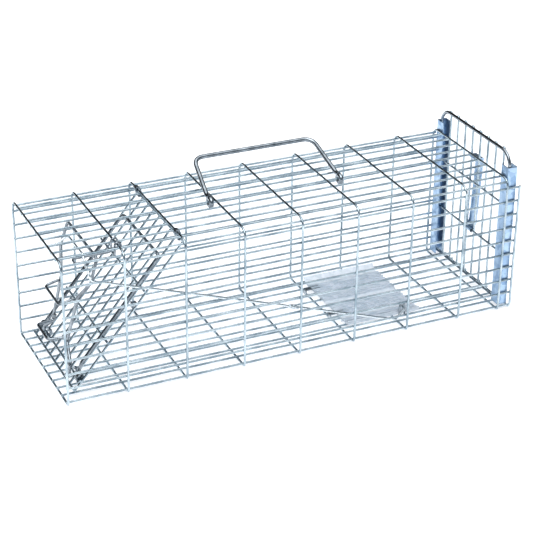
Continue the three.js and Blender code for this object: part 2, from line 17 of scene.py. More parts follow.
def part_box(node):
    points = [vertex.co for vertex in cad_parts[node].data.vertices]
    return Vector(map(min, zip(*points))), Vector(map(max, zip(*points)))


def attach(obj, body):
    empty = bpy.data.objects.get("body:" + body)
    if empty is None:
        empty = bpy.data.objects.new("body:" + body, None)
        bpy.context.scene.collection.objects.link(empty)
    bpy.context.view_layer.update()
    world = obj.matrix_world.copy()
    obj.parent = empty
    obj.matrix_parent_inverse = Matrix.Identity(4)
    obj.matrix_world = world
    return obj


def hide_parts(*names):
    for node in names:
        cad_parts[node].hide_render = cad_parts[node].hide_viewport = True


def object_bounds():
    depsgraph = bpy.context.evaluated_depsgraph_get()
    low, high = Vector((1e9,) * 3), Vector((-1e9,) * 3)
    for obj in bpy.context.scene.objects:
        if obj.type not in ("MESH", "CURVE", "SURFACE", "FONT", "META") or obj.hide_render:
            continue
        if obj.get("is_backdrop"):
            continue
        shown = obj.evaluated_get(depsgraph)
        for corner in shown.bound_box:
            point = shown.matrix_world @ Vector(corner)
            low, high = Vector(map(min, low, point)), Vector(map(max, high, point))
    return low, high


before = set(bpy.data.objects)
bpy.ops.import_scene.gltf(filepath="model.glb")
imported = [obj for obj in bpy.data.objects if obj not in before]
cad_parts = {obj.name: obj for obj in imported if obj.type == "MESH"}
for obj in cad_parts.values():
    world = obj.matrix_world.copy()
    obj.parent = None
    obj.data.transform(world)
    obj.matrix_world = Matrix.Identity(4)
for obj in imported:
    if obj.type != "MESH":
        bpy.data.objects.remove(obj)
cad_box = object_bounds()

# %% [markdown]
# ## Sizes
# The frame is in metres, and wire work is easier to think of in millimetres, so every size below is in
# millimetres and one factor turns it into metres. What the frame can tell, such as where a solid starts,
# is read from its box. The rest are the few sizes that the whole trap is laid out from.

# %% Sizes in millimetres
MM = 0.001
WIRE = 2.0
WELD = 0.3
GAP = 0.3
EASE = 0.6
HOOP_PITCH = 50.8
HOOPS_AT_PITCH = 8
MESH_PITCH = 12.7
CORNER_RADIUS = 8.0
BAND = 0.8


def box_mm(node):
    """The lowest and highest corner of a solid of the frame, in millimetres."""
    low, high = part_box(node)
    return low / MM, high / MM


floor_low, floor_high = box_mm("floor_grille")
roof_high = box_mm("roof_grille")[1]
half = floor_high.y
top = roof_high.z
front_hoop = floor_low.x + WIRE / 2
last_hoop = roof_high.x - WIRE / 2
end_post = floor_high.x - WIRE / 2
hoops = [front_hoop + i * HOOP_PITCH for i in range(HOOPS_AT_PITCH)] + [last_hoop]
layer = 2 * WIRE - WELD
print(f"cage {end_post - front_hoop + WIRE:.1f} long, {2 * half:.1f} wide, {top:.1f} high")

# %% [markdown]
# ## The camera
# The camera comes first, so that each piece can be judged from the right side as soon as it is made.
# It looks down at about 27 degrees from the front corner on the near side. A long lens keeps the hoops
# almost the same size from front to rear, because it stands far off.

# %% Camera
AZIMUTH = math.radians(24.88)
ELEVATION = math.radians(27.26)
ROLL = math.radians(0.63)
DISTANCE = 1.3955
AIM = Vector((-0.0028, -0.0017, 0.0531))
FOCAL_IN_WIDTHS = 1636 / 536


def make_camera():
    """A camera at a distance from AIM, turned and rolled by the angles above."""
    look = Vector(
        (
            math.sin(AZIMUTH) * math.cos(ELEVATION),
            math.cos(AZIMUTH) * math.cos(ELEVATION),
            -math.sin(ELEVATION),
        )
    )
    level = look.cross(Vector((0, 0, 1))).normalized()
    upright = level.cross(look)
    side = level * math.cos(ROLL) + upright * math.sin(ROLL)
    up = side.cross(look)
    turn = Matrix((side, up, -look)).transposed().to_4x4()
    data = bpy.data.cameras.new("camera")
    data.sensor_width = 36
    data.lens = FOCAL_IN_WIDTHS * data.sensor_width
    data.clip_end = 50
    camera = bpy.data.objects.new("camera", data)
    camera.matrix_world = Matrix.Translation(AIM - look * DISTANCE) @ turn
    bpy.context.scene.collection.objects.link(camera)
    bpy.context.scene.camera = camera
    return camera


camera = make_camera()
print(f"camera at {[round(c, 3) for c in camera.location]}, lens {camera.data.lens:.1f} mm")

# %% [markdown]
# ## Node trees by code
# Both materials and Geometry Nodes are trees of nodes. One function adds a node, sets what is given as a
# plain value and links what is given as a socket. Everything below is built with it, so each line reads
# as one step of the recipe.

# %% Adding one node


def add(tree, kind, inputs=None, **settings):
    """Adds a node. inputs maps a socket's name or number to a value, or to the socket that feeds it."""
    node = tree.nodes.new(kind)
    for name, value in settings.items():
        setattr(node, name, value)
    for key, value in (inputs or {}).items():
        socket = node.inputs[key]
        if isinstance(value, bpy.types.NodeSocket):
            tree.links.new(value, socket)
        else:
            socket.default_value = value
    return node


def linear(code):
    """An sRGB hex colour, as a maker would give it, turned into the linear values that shaders use."""
    parts = [int(code[i : i + 2], 16) / 255 for i in (1, 3, 5)]
    return [c / 12.92 if c <= 0.04045 else ((c + 0.055) / 1.055) ** 2.4 for c in parts] + [1.0]


# %% [markdown]
# ## Zinc on wire
# The mesh is mild steel wire, cut, welded and then dipped or plated in zinc. Fresh zinc is a pale metal
# with a slight blue cast. On drawn wire it is bright along the length, because the drawing die leaves fine
# lines, with duller patches where the coat ran thick or has begun to oxidise.
#
# An image could carry the patches, but two noises on Object coordinates do it without one, and their
# scales are worked out from real sizes: patches some 14 mm long, grain of about half a millimetre. A Noise
# Texture's scale is how many blobs fit in a metre, so it is one over the blob's size.

# %% Galvanised steel wire
PATCH_MM = 14
PATCH_ROUGHNESS = 0.05
GRAIN_MM = 0.5
GRAIN_ROUGHNESS = (0.14, 0.28)
GRAIN_DEPTH_MM = 0.03


def metal(name, build, bare=1.0):
    """A metal shader. build gives its colour, roughness, bump and depth; bare is the share that mirrors."""
    material = bpy.data.materials.new(name)
    material.use_nodes = True
    tree = material.node_tree
    tree.nodes.clear()
    shader = add(tree, "ShaderNodeBsdfPrincipled", {"Metallic": bare})
    add(tree, "ShaderNodeOutputMaterial", {"Surface": shader.outputs["BSDF"]})
    place = add(tree, "ShaderNodeTexCoord").outputs["Object"]
    colour, roughness, height, depth_mm = build(tree, place)
    tree.links.new(colour, shader.inputs["Base Color"])
    tree.links.new(roughness, shader.inputs["Roughness"])
    bump = add(tree, "ShaderNodeBump", {"Height": height, "Distance": depth_mm * MM, "Strength": 1.0})
    tree.links.new(bump.outputs["Normal"], shader.inputs["Normal"])
    return material


def galvanised_wire(dull, bright):
    """Hot zinc runs along the wire and sets in long pale patches between thinner, bluer ones."""

    def build(tree, place):
        patches = {"Vector": place, "Scale": 1 / (PATCH_MM * MM), "Detail": 4}
        patch = add(tree, "ShaderNodeTexNoise", patches).outputs["Fac"]
        grains = {"Vector": place, "Scale": 1 / (GRAIN_MM * MM), "Detail": 3, "Roughness": 0.6}
        grain = add(tree, "ShaderNodeTexNoise", grains).outputs["Fac"]
        blotches = {"Value": patch, "From Min": 0.35, "From Max": 0.65}
        blotch = add(tree, "ShaderNodeMapRange", blotches).outputs[0]
        shades = {"Factor": blotch, "A": linear(dull), "B": linear(bright)}
        colour = add(tree, "ShaderNodeMix", shades, data_type="RGBA").outputs["Result"]
        falling = {**blotches, "To Min": PATCH_ROUGHNESS, "To Max": -PATCH_ROUGHNESS}
        duller = add(tree, "ShaderNodeMapRange", falling).outputs[0]
        fine = {"Value": grain, "From Min": 0.3, "From Max": 0.7}
        fine.update({"To Min": GRAIN_ROUGHNESS[0], "To Max": GRAIN_ROUGHNESS[1]})
        drawn = add(tree, "ShaderNodeMapRange", fine).outputs[0]
        total = add(tree, "ShaderNodeMath", {0: duller, 1: drawn}, operation="ADD")
        return colour, total.outputs[0], grain, GRAIN_DEPTH_MM

    return build


zinc_wire = metal("galvanised_steel_wire", galvanised_wire("#8fa0ab", "#cad7de"))
# The trip rod is drawn last and bright, so that it slides: paler zinc, with hardly any patches.
sliding_wire = metal("bright_drawn_wire", galvanised_wire("#dfe7ec", "#f2f7f9"))

# %% [markdown]
# ## Zinc on sheet
# The channels, the pan and the latch are bent from sheet that was galvanised as a strip. Zinc sets on a
# flat strip in crystals, the spangle, each with its own tilt, so neighbouring cells differ in brightness.
# A Voronoi texture gives one flat value for each cell, which is just what a crystal does. Fine scratches
# along the strip come from its way through the rolls.
#
# The pan gets a paler copy of this zinc: its shader is less than half metal and the rest is pale and matt.
# That paleness is painted light, standing for the bright overhead light on the pan's upward face.

# %% Galvanised sheet
SPANGLE_MM = 5
SPANGLE_WANDER = 0.0012
SPANGLE_WANDER_MM = 3
SCRATCH_MM = 0.35
SCRATCH_LENGTH = 40
SCRATCH_ROUGHNESS = 0.02
SCRATCH_DEPTH_MM = 0.0015


def galvanised_strip(dull, bright, rough, scratched):
    """Zinc crystals of two shades; scratched is the share of the rolls' scratches that is left."""

    def build(tree, place):
        ragged = {"Vector": place, "Scale": 1 / (SPANGLE_WANDER_MM * MM)}
        wander = add(tree, "ShaderNodeTexNoise", ragged).outputs["Color"]
        edges = {"Factor": SPANGLE_WANDER, "A": place, "B": wander}
        bent = add(tree, "ShaderNodeMix", edges, data_type="VECTOR").outputs["Result"]
        cells = {"Vector": bent, "Scale": 1 / (SPANGLE_MM * MM)}
        crystal = add(tree, "ShaderNodeTexVoronoi", cells).outputs["Color"]
        tilt = add(tree, "ShaderNodeSeparateColor", {"Color": crystal}).outputs
        shades = {"Factor": tilt[0], "A": linear(dull), "B": linear(bright)}
        colour = add(tree, "ShaderNodeMix", shades, data_type="RGBA").outputs["Result"]
        along = add(tree, "ShaderNodeMapping", {"Vector": place, "Scale": (1 / SCRATCH_LENGTH, 1, 1)})
        lines = {"Vector": along.outputs[0], "Scale": 1 / (SCRATCH_MM * MM), "Detail": 3, "Roughness": 0.7}
        scratch = add(tree, "ShaderNodeTexNoise", lines).outputs["Fac"]
        cloudy = add(tree, "ShaderNodeMapRange", {"Value": tilt[1], "To Min": rough[0], "To Max": rough[1]})
        uneven = SCRATCH_ROUGHNESS * scratched
        fine = {"Value": scratch, "From Min": 0.3, "From Max": 0.7, "To Min": -uneven, "To Max": uneven}
        worn = add(tree, "ShaderNodeMapRange", fine)
        total = add(tree, "ShaderNodeMath", {0: cloudy.outputs[0], 1: worn.outputs[0]}, operation="ADD")
        return colour, total.outputs[0], scratch, SCRATCH_DEPTH_MM * scratched

    return build


shiny = galvanised_strip("#86a3c4", "#b4cde6", (0.28, 0.36), 1.0)
# The pan's copy: paler colours that paint in the light on its upward face.
pan_painted_light_strip = galvanised_strip("#cfd9e2", "#e8edf4", (0.42, 0.47), 0.05)
zinc_sheet = metal("galvanised_sheet", shiny, bare=0.9)
# The pan's mostly matt copy, whose paleness is painted light.
pan_painted_light_sheet = metal("pan_painted_light_zinc", pan_painted_light_strip, bare=0.3)

# %% [markdown]
# ## Bright rod and crimped clips
# The brace, the lock frame and the handle are bent from thicker rod that was zinc plated after bending.
# Plating is thinner and smoother than a hot coat, so these are brighter and show the lines of the drawing
# die under faint smears from handling. The clips are crimped on last, from plated strip, and the press
# rubs the zinc thin, so they look grey, marked and a little rough. Both are one noise in two places: it
# shades the colour, and it sets how blurred the reflection is.

# %% Plated rod and crimped strip


def smeared(size_mm, detail, half_range, dull, bright, blurred, sharp, bump_mm):
    """A metal whose colour and gloss follow one noise; bump_mm is the bump's size and its depth."""

    def build(tree, place):
        smears = {"Vector": place, "Scale": 1 / (size_mm * MM), "Detail": detail[0], "Roughness": detail[1]}
        smear = add(tree, "ShaderNodeTexNoise", smears).outputs["Fac"]
        ranges = {"Value": smear, "From Min": 0.5 - half_range, "From Max": 0.5 + half_range}
        shade = add(tree, "ShaderNodeMapRange", ranges).outputs[0]
        shades = {"Factor": shade, "A": linear(dull), "B": linear(bright)}
        colour = add(tree, "ShaderNodeMix", shades, data_type="RGBA").outputs["Result"]
        gloss = add(tree, "ShaderNodeMapRange", {**ranges, "To Min": blurred, "To Max": sharp}).outputs[0]
        height = smear
        if bump_mm[0] != size_mm:
            lines = {"Vector": place, "Scale": 1 / (bump_mm[0] * MM)}
            height = add(tree, "ShaderNodeTexNoise", lines).outputs["Fac"]
        return colour, gloss, height, bump_mm[1]

    return build


plated_rod = smeared(9, (5, 0.6), 0.2, "#666e75", "#adb5bc", 0.26, 0.14, (0.4, 0.02))
crimped_strip = smeared(1.6, (4, 0.65), 0.15, "#5f6870", "#c3ccd4", 0.36, 0.18, (1.6, 0.06))
bright_rod = metal("zinc_plated_rod", plated_rod)
clip_steel = metal("crimped_steel_strip", crimped_strip)
print("materials:", ", ".join(m.name for m in bpy.data.materials))

# %% [markdown]
# ## A wire from a line
# Every wire here is one round section swept along a line with rounded corners. It could be a curve object
# with a bevel depth, but then each wire would be its own object. In Geometry Nodes one tree turns any
# number of drawn lines into wires at once: the lines become curves, Fillet Curve rounds their corners as
# a bending pin does, Curve to Mesh sweeps a circle along them, and the ends are closed like cut wire.
#
# A long wire is never quite straight. The tree resamples the curve and pushes its points about by a noise,
# a fraction of a millimetre, so that the highlights break up as they do on the real cage.

# %% A tree with named inputs


def new_tree(name, inputs):
    """A Geometry Nodes tree with one geometry in, one geometry out, and the named number inputs."""
    tree = bpy.data.node_groups.new(name, "GeometryNodeTree")
    tree.interface.new_socket("Geometry", in_out="INPUT", socket_type="NodeSocketGeometry")
    for label, kind in inputs.items():
        tree.interface.new_socket(label, in_out="INPUT", socket_type=kind)
    tree.interface.new_socket("Geometry", in_out="OUTPUT", socket_type="NodeSocketGeometry")
    return tree, tree.nodes.new("NodeGroupInput").outputs


NUMBER, COUNT = "NodeSocketFloat", "NodeSocketInt"
FINISH_INPUTS = {"Material": "NodeSocketMaterial"}


def close_tree(tree, geometry, given):
    """Ends a tree: real geometry, with its material."""
    real = add(tree, "GeometryNodeRealizeInstances", {"Geometry": geometry})
    named = add(tree, "GeometryNodeSetMaterial", {"Geometry": real.outputs[0], "Material": given["Material"]})
    add(tree, "NodeGroupOutput", {"Geometry": named.outputs[0]})


# %% [markdown]
# ### The tree itself
# The drawn edges come in as a mesh. Resampling comes before the wobble, because a straight stretch has no
# points of its own to push about.

# %% The bent wire tree
BEND_STEPS = 6
WAVE_MM = 30


def bent_wire_tree():
    """Edges in, round wire out. All its sizes are in metres."""
    sizes = {"Diameter": NUMBER, "Bend Radius": NUMBER, "Sides": COUNT, "Step": NUMBER, "Wobble": NUMBER}
    tree, given = new_tree("Bent wire", {**sizes, **FINISH_INPUTS})
    line = add(tree, "GeometryNodeMeshToCurve", {"Mesh": given["Geometry"]})
    corners = {"Curve": line.outputs[0], "Count": BEND_STEPS, "Limit Radius": True}
    corners["Radius"] = given["Bend Radius"]
    bent = add(tree, "GeometryNodeFilletCurve", corners, mode="POLY")
    evened = add(tree, "GeometryNodeResampleCurve", {"Curve": bent.outputs[0]}, mode="LENGTH")
    tree.links.new(given["Step"], evened.inputs["Length"])
    place = add(tree, "GeometryNodeInputPosition").outputs[0]
    waves = add(tree, "ShaderNodeTexNoise", {"Vector": place, "Scale": 1 / (WAVE_MM * MM), "Detail": 1.0})
    centred = {0: waves.outputs["Color"], 1: (0.5,) * 3}
    level = add(tree, "ShaderNodeVectorMath", centred, operation="SUBTRACT")
    scaled = {0: level.outputs[0], "Scale": given["Wobble"]}
    push = add(tree, "ShaderNodeVectorMath", scaled, operation="SCALE")
    moved = add(tree, "GeometryNodeSetPosition", {"Geometry": evened.outputs[0], "Offset": push.outputs[0]})
    radius = add(tree, "ShaderNodeMath", {0: given["Diameter"], 1: 0.5}, operation="MULTIPLY")
    section = {"Resolution": given["Sides"], "Radius": radius.outputs[0]}
    ring = add(tree, "GeometryNodeCurvePrimitiveCircle", section, mode="RADIUS")
    swept = {"Curve": moved.outputs[0], "Profile Curve": ring.outputs["Curve"], "Fill Caps": True}
    wire = add(tree, "GeometryNodeCurveToMesh", swept)
    close_tree(tree, wire.outputs[0], given)
    return tree


wire_tree = bent_wire_tree()
print("tree", wire_tree.name, "has", len(wire_tree.nodes), "nodes")

# %% [markdown]
# ## From a tree to a plain mesh
# A modifier's inputs are keyed by socket identifiers, not by the names that are shown, so a small function
# looks each name up. It then takes the evaluated mesh as a new plain object and throws the drawn lines
# away. The finished object sits at the origin, with its place in its mesh.

# %% Running a tree
FLAT_ABOVE = math.radians(50)
SAME_PLACE = 1e-7
UNMOVED = Matrix.Identity(4)


def run_tree(name, mesh, tree, values):
    """Evaluates a tree on a mesh and returns the result as a plain mesh object."""
    source = bpy.data.objects.new(name + "_source", mesh)
    bpy.context.scene.collection.objects.link(source)
    modifier = source.modifiers.new("nodes", "NODES")
    modifier.node_group = tree
    sockets = {s.name: s.identifier for s in tree.interface.items_tree if s.in_out == "INPUT"}
    for label, value in values.items():
        modifier[sockets[label]] = value
    bpy.context.view_layer.update()
    evaluated = source.evaluated_get(bpy.context.evaluated_depsgraph_get())
    made = bpy.data.objects.new(name, bpy.data.meshes.new_from_object(evaluated))
    bpy.context.scene.collection.objects.link(made)
    bpy.data.objects.remove(source)
    made.data.name = name
    return made


def finish_mesh(piece):
    """Turns the faces outwards and shades them smooth, with cut ends and folds kept sharp."""
    work = bmesh.new()
    work.from_mesh(piece.data)
    bmesh.ops.remove_doubles(work, verts=work.verts, dist=SAME_PLACE)
    bmesh.ops.recalc_face_normals(work, faces=work.faces)
    for face in work.faces:
        face.smooth = True
    for edge in work.edges:
        edge.smooth = len(edge.link_faces) == 2 and edge.calc_face_angle(0) < FLAT_ABOVE
    work.to_mesh(piece.data)
    work.free()
    return piece


def lines_mesh(name, lines, place):
    """Draws lines as edges. Points are in millimetres in the frame that place turns into the trap's."""
    points, edges = [], []
    for line in lines:
        start = len(points)
        points += [(place @ Vector(p)) * MM for p in line]
        edges += [(start + i, start + i + 1) for i in range(len(line) - 1)]
    mesh = bpy.data.meshes.new(name)
    mesh.from_pydata(points, edges, [])
    return mesh


def wires(name, lines, diameter, material, bend=3.0, sides=12, step=6.0, wobble=0.0, place=UNMOVED):
    """Sweeps round wire along every line; all lengths in millimetres."""
    values = {
        "Diameter": diameter * MM,
        "Bend Radius": bend * MM,
        "Sides": sides,
        "Step": step * MM,
        "Wobble": wobble * MM,
        "Material": material,
    }
    piece = run_tree(name, lines_mesh(name, lines, place), wire_tree, values)
    return finish_mesh(piece)


def keep(piece, body, slot, *nodes):
    """The piece rides on its body and stands for these solids of the frame; slot is not used."""
    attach(piece, body)
    if nodes:
        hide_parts(*nodes)
    print(f"{piece.name}: {len(piece.data.polygons)} faces, on {body}")
    return piece


# %% [markdown]
# ## Hoops
# The cage's outer wires are hoops: each is one length of wire bent into a square round the cage, tighter
# at the floor than at the roof. Eight stand two inches apart, and a ninth closes the rear. The floor and
# both sides run on a little way to a last set of wires, behind the channels.

# %% Drawing the hoops
FLOOR_RADIUS = 3.0
WIRE_WOBBLE = 0.35
BUTT_GAP = 0.05
ALREADY_BENT = 0.1


def arc(middle, radius, start, end, steps=5):
    """Points on an arc in the plane across the trap; angles in degrees from +Y towards +Z."""
    turns = [math.radians(start + (end - start) * i / steps) for i in range(steps + 1)]
    return [(middle[0] + radius * math.cos(t), middle[1] + radius * math.sin(t)) for t in turns]


def hoop_line(x):
    """One closed hoop: it starts and ends in the middle of the floor, where its ends are butted."""
    y = half - WIRE / 2
    high = top - WIRE / 2
    low = WIRE / 2
    roof = CORNER_RADIUS - WIRE / 2
    outline = [(0, low)]
    outline += arc((y - FLOOR_RADIUS, low + FLOOR_RADIUS), FLOOR_RADIUS, -90, 0)
    outline += arc((y - roof, high - roof), roof, 0, 90)
    outline += arc((-y + roof, high - roof), roof, 90, 180)
    outline += arc((-y + FLOOR_RADIUS, low + FLOOR_RADIUS), FLOOR_RADIUS, 180, 270)
    outline += [(-BUTT_GAP, low)]
    return [(x, a, b) for a, b in outline]


def end_post_line():
    """The last wires behind the channels: up one side, under the floor and up the other."""
    y = half - WIRE / 2
    side_top = box_mm("side_grille_near")[1].z
    low = WIRE / 2
    outline = [(y, side_top)]
    outline += arc((y - FLOOR_RADIUS, low + FLOOR_RADIUS), FLOOR_RADIUS, 0, -90)
    outline += arc((-y + FLOOR_RADIUS, low + FLOOR_RADIUS), FLOOR_RADIUS, 270, 180)
    outline += [(-y, side_top)]
    return [(end_post, a, b) for a, b in outline]


hoop_lines = [hoop_line(x) for x in hoops] + [end_post_line()]
cage_hoops = wires(
    "cage_hoops", hoop_lines, WIRE, zinc_wire, bend=ALREADY_BENT, step=2.5, wobble=WIRE_WOBBLE
)
keep(
    cage_hoops,
    "cage",
    "galvanised_mesh",
    "floor_grille",
    "side_grille_near",
    "side_grille_far",
    "roof_grille",
)

# %% [markdown]
# ## Long wires
# Inside the hoops run the long wires, half an inch apart, welded at every crossing. The floor's and the
# sides' go right to the last wires; the roof's stop at the ninth hoop, so that the rear door can rise
# behind it. A real machine cuts them a touch uneven, so each end stands out by its own small amount.

# %% Drawing the long wires
FLOOR_WIRES = 11
END_SPREAD = 0.5
FRONT_SHARE, REAR_SHARE = 0.618, 0.382


def spread(count, reach):
    """Count places spread evenly from -reach to reach."""
    return [-reach + 2 * reach * i / (count - 1) for i in range(count)]


floor_reach = half - 1.5 * WIRE - GAP
floor_places = [(y, layer - WIRE / 2) for y in spread(FLOOR_WIRES, floor_reach)]
side_first = layer - WIRE / 2 + MESH_PITCH
side_count = 1 + int((top - CORNER_RADIUS - GAP - WIRE / 2 - side_first) / MESH_PITCH)
side_y = half - layer + WIRE / 2
side_places = [(s * side_y, side_first + i * MESH_PITCH) for i in range(side_count) for s in (-1, 1)]
roof_count = int((half - CORNER_RADIUS - WIRE / 2) / MESH_PITCH)
roof_places = [(y, top - layer + WIRE / 2) for y in spread(2 * roof_count + 1, roof_count * MESH_PITCH)]
inset = CORNER_RADIUS - (CORNER_RADIUS - layer + WIRE / 2) * math.sqrt(0.5)
roof_places += [(s * (half - inset), top - inset) for s in (-1, 1)]


def long_wire(place, rear, number):
    """One long wire. Its ends differ by fractions of a millimetre, in a fixed order."""
    y, z = place
    front_cut = END_SPREAD * (number * FRONT_SHARE % 1)
    rear_cut = END_SPREAD * (number * REAR_SHARE % 1)
    return [(front_hoop - WIRE / 2 + front_cut, y, z), (rear + WIRE / 2 - rear_cut, y, z)]


long_lines = [long_wire(p, end_post, i) for i, p in enumerate(floor_places + side_places)]
long_lines += [long_wire(p, last_hoop, i) for i, p in enumerate(roof_places)]
cage_wires = wires("cage_long_wires", long_lines, WIRE, zinc_wire, wobble=WIRE_WOBBLE)
keep(cage_wires, "cage", "galvanised_mesh")
print(f"{len(long_lines)} long wires")

# %% [markdown]
# ## Welds
# A spot welder squeezes each crossing between two electrodes. The wires sink into each other and a little
# metal is pushed out round the joint, and the zinc later fills the corner. That nugget is a small flat
# blob. There are some four hundred of them, so they are instances of one low mesh: a tree puts it on each
# crossing, turned and sized a little at random from a fixed seed, and then makes it real.

# %% The weld tree
SIZE_SPREAD = 0.15


def weld_tree():
    """Points in, one flat nugget on each out, lying across the joint that the point names."""
    sizes = {"Width": NUMBER, "Thickness": NUMBER, "Seed": COUNT}
    tree, given = new_tree("Weld nuggets", {**sizes, **FINISH_INPUTS})
    blob = add(tree, "GeometryNodeMeshIcoSphere", {"Radius": 0.5, "Subdivisions": 2})
    flat = add(tree, "ShaderNodeCombineXYZ", {0: given["Width"], 1: given["Width"], 2: given["Thickness"]})
    across = add(tree, "GeometryNodeInputNamedAttribute", {"Name": "across"}, data_type="FLOAT_VECTOR")
    facing = add(tree, "FunctionNodeAlignRotationToVector", {"Vector": across.outputs[0]}, axis="Z")
    spins = {"Min": 0.0, "Max": math.pi, "Seed": given["Seed"]}
    spin = add(tree, "FunctionNodeRandomValue", spins, data_type="FLOAT").outputs["Value"]
    shares = {"Min": 1 - SIZE_SPREAD, "Max": 1 + SIZE_SPREAD, "Seed": given["Seed"]}
    size = add(tree, "FunctionNodeRandomValue", shares, data_type="FLOAT").outputs["Value"]
    turned = add(tree, "FunctionNodeAxisAngleToRotation", {"Axis": (0, 0, 1), "Angle": spin})
    turns = {0: facing.outputs[0], 1: turned.outputs[0]}
    both = add(tree, "FunctionNodeRotateRotation", turns, rotation_space="LOCAL")
    scaled = add(tree, "ShaderNodeVectorMath", {0: flat.outputs[0], "Scale": size}, operation="SCALE")
    crossings = {"Points": given["Geometry"], "Instance": blob.outputs[0]}
    crossings.update({"Rotation": both.outputs[0], "Scale": scaled.outputs[0]})
    placed = add(tree, "GeometryNodeInstanceOnPoints", crossings)
    close_tree(tree, placed.outputs[0], given)
    return tree


nugget_tree = weld_tree()


def welds(name, spots, width, thickness, material, seed, place=UNMOVED):
    """A nugget at each spot, which is a point and the direction across the joint, in millimetres."""
    mesh = bpy.data.meshes.new(name)
    mesh.from_pydata([(place @ Vector(p)) * MM for p, _ in spots], [], [])
    turn = place.to_3x3()
    across = mesh.attributes.new("across", "FLOAT_VECTOR", "POINT")
    across.data.foreach_set("vector", [c for _, d in spots for c in turn @ Vector(d)])
    values = {"Width": width * MM, "Thickness": thickness * MM, "Seed": seed, "Material": material}
    return finish_mesh(run_tree(name, mesh, nugget_tree, values))


# %% [markdown]
# ### Where the cage is welded
# Each nugget sits between the middle lines of its two wires and lies flat across the direction in which
# the electrodes pressed. On the floor and the roof that is up and down, on the sides it is across.

# %% Welding the cage
NUGGET = 2.3
NUGGET_THICKNESS = 1.7


def cage_crossings():
    """Where the long wires cross the hoops: the nugget lies between the two wires' middle lines."""
    joint = (WIRE - WELD) / 2
    spots = []
    for y, z in floor_places:
        spots += [((x, y, z - joint), (0, 0, 1)) for x in hoops + [end_post]]
    for y, z in side_places:
        out = math.copysign(joint, y)
        spots += [((x, y + out, z), (0, 1, 0)) for x in hoops + [end_post]]
    for y, z in roof_places[:-2]:
        spots += [((x, y, z + joint), (0, 0, 1)) for x in hoops]
    for y, z in roof_places[-2:]:
        out = Vector((0, math.copysign(1, y), 1)).normalized()
        spots += [(Vector((x, y, z)) + out * joint, out) for x in hoops]
    return spots


cage_spots = cage_crossings()
cage_welds = welds("cage_welds", cage_spots, NUGGET, NUGGET_THICKNESS, zinc_wire, seed=3)
keep(cage_welds, "cage", "galvanised_mesh")
print(f"{len(cage_spots)} welds")

# %% [markdown]
# ## The front door
# The door hangs inside the cage from the roof of the third hoop and slopes down to the floor at the
# front. It is a flat mesh, so it is drawn flat, with x up along the door and z out of its face, and one
# matrix lays it in place. The same matrix serves everything that is fixed to the door.

# %% The door's own frame
DOOR_HOOP = 2
DOOR_TOE = 2.0
DOOR_WIRES = 9
DOOR_TOP = 2.5
DOOR_ROW_PITCH = 50.8
LOCK_ROW_RISE = 8.8

hinge = Vector((hoops[DOOR_HOOP], 0, top - WIRE / 2))
door_slope = math.atan2(hinge.z - layer - WIRE, hinge.x - front_hoop - DOOR_TOE)
door_drop = (
    layer - WIRE / 2 + EASE + WIRE * math.sqrt(0.5) - DOOR_TOP * math.sin(door_slope)
) / math.cos(door_slope)
door_layer = door_drop + WIRE - WELD
door_length = (
    hinge.z - layer - EASE - (door_layer + WIRE / 2) * math.cos(door_slope)
) / math.sin(door_slope)
lock_row = door_length - WIRE / 2 - LOCK_ROW_RISE
on_door = Matrix.Translation(hinge) @ Matrix.Rotation(-door_slope, 4, "Y")
print(f"door {door_length:.1f} long at {math.degrees(door_slope):.1f} degrees")

# %% [markdown]
# ### The door's mesh
# Nine wires run down the door, and the cross wires lie on top of them. The cross wire that the lock frame
# swings on is one of these rows, a little above the last.

# %% Door wires and welds
row_z = -door_drop
door_half = (DOOR_WIRES - 1) / 2 * MESH_PITCH
bottom_row = door_length - WIRE / 2
door_rows = [DOOR_TOP + i * DOOR_ROW_PITCH for i in range(3)] + [lock_row, bottom_row]
door_lines = [[(-a, -door_half - WIRE / 2, row_z), (-a, door_half + WIRE / 2, row_z)] for a in door_rows]
door_lines += [
    [(-door_length, y, -door_layer), (-DOOR_TOP + WIRE / 2, y, -door_layer)]
    for y in spread(DOOR_WIRES, door_half)
]
door_mesh = wires("door_wires", door_lines, WIRE, zinc_wire, wobble=WIRE_WOBBLE, place=on_door)
keep(door_mesh, "front_door_body", "galvanised_mesh", "door_panel")

door_joint = row_z - (WIRE - WELD) / 2
door_spots = [((-a, y, door_joint), (0, 0, 1)) for a in door_rows for y in spread(DOOR_WIRES, door_half)]
door_welds = welds("door_welds", door_spots, NUGGET, NUGGET_THICKNESS, zinc_wire, seed=5, place=on_door)
keep(door_welds, "front_door_body", "galvanised_mesh")

# %% [markdown]
# ## The door's brace
# A thicker rod, bent into a wide U, stiffens the door. Its two feet turn outwards under the wire that the
# lock frame swings on, and a clip is crimped round each foot and that wire.

# %% Brace rod
BRACE_ROD = 3.0
BRACE_HALF_WIDTH = 41.5
BRACE_TOP = 24.0
BRACE_FOOT = 7.0

brace_z = row_z + WIRE / 2 + GAP + BRACE_ROD / 2
foot_x = -lock_row + WIRE / 2 + GAP + BRACE_ROD / 2


def mirrored(side_points):
    """A line that goes through side_points and back through their mirror images across the trap."""
    return side_points + [(x, -y, z) for x, y, z in reversed(side_points)]


brace_line = mirrored(
    [
        (foot_x, -BRACE_HALF_WIDTH - BRACE_FOOT, row_z),
        (foot_x, -BRACE_HALF_WIDTH, row_z),
        (foot_x + 3 * BRACE_ROD, -BRACE_HALF_WIDTH, brace_z),
        (-BRACE_TOP, -BRACE_HALF_WIDTH, brace_z),
    ]
)
brace = wires(
    "door_brace_rod", [brace_line], BRACE_ROD, bright_rod, bend=4, step=1.5, sides=16, place=on_door
)
keep(brace, "front_door_body", "bright_rod", "door_brace")

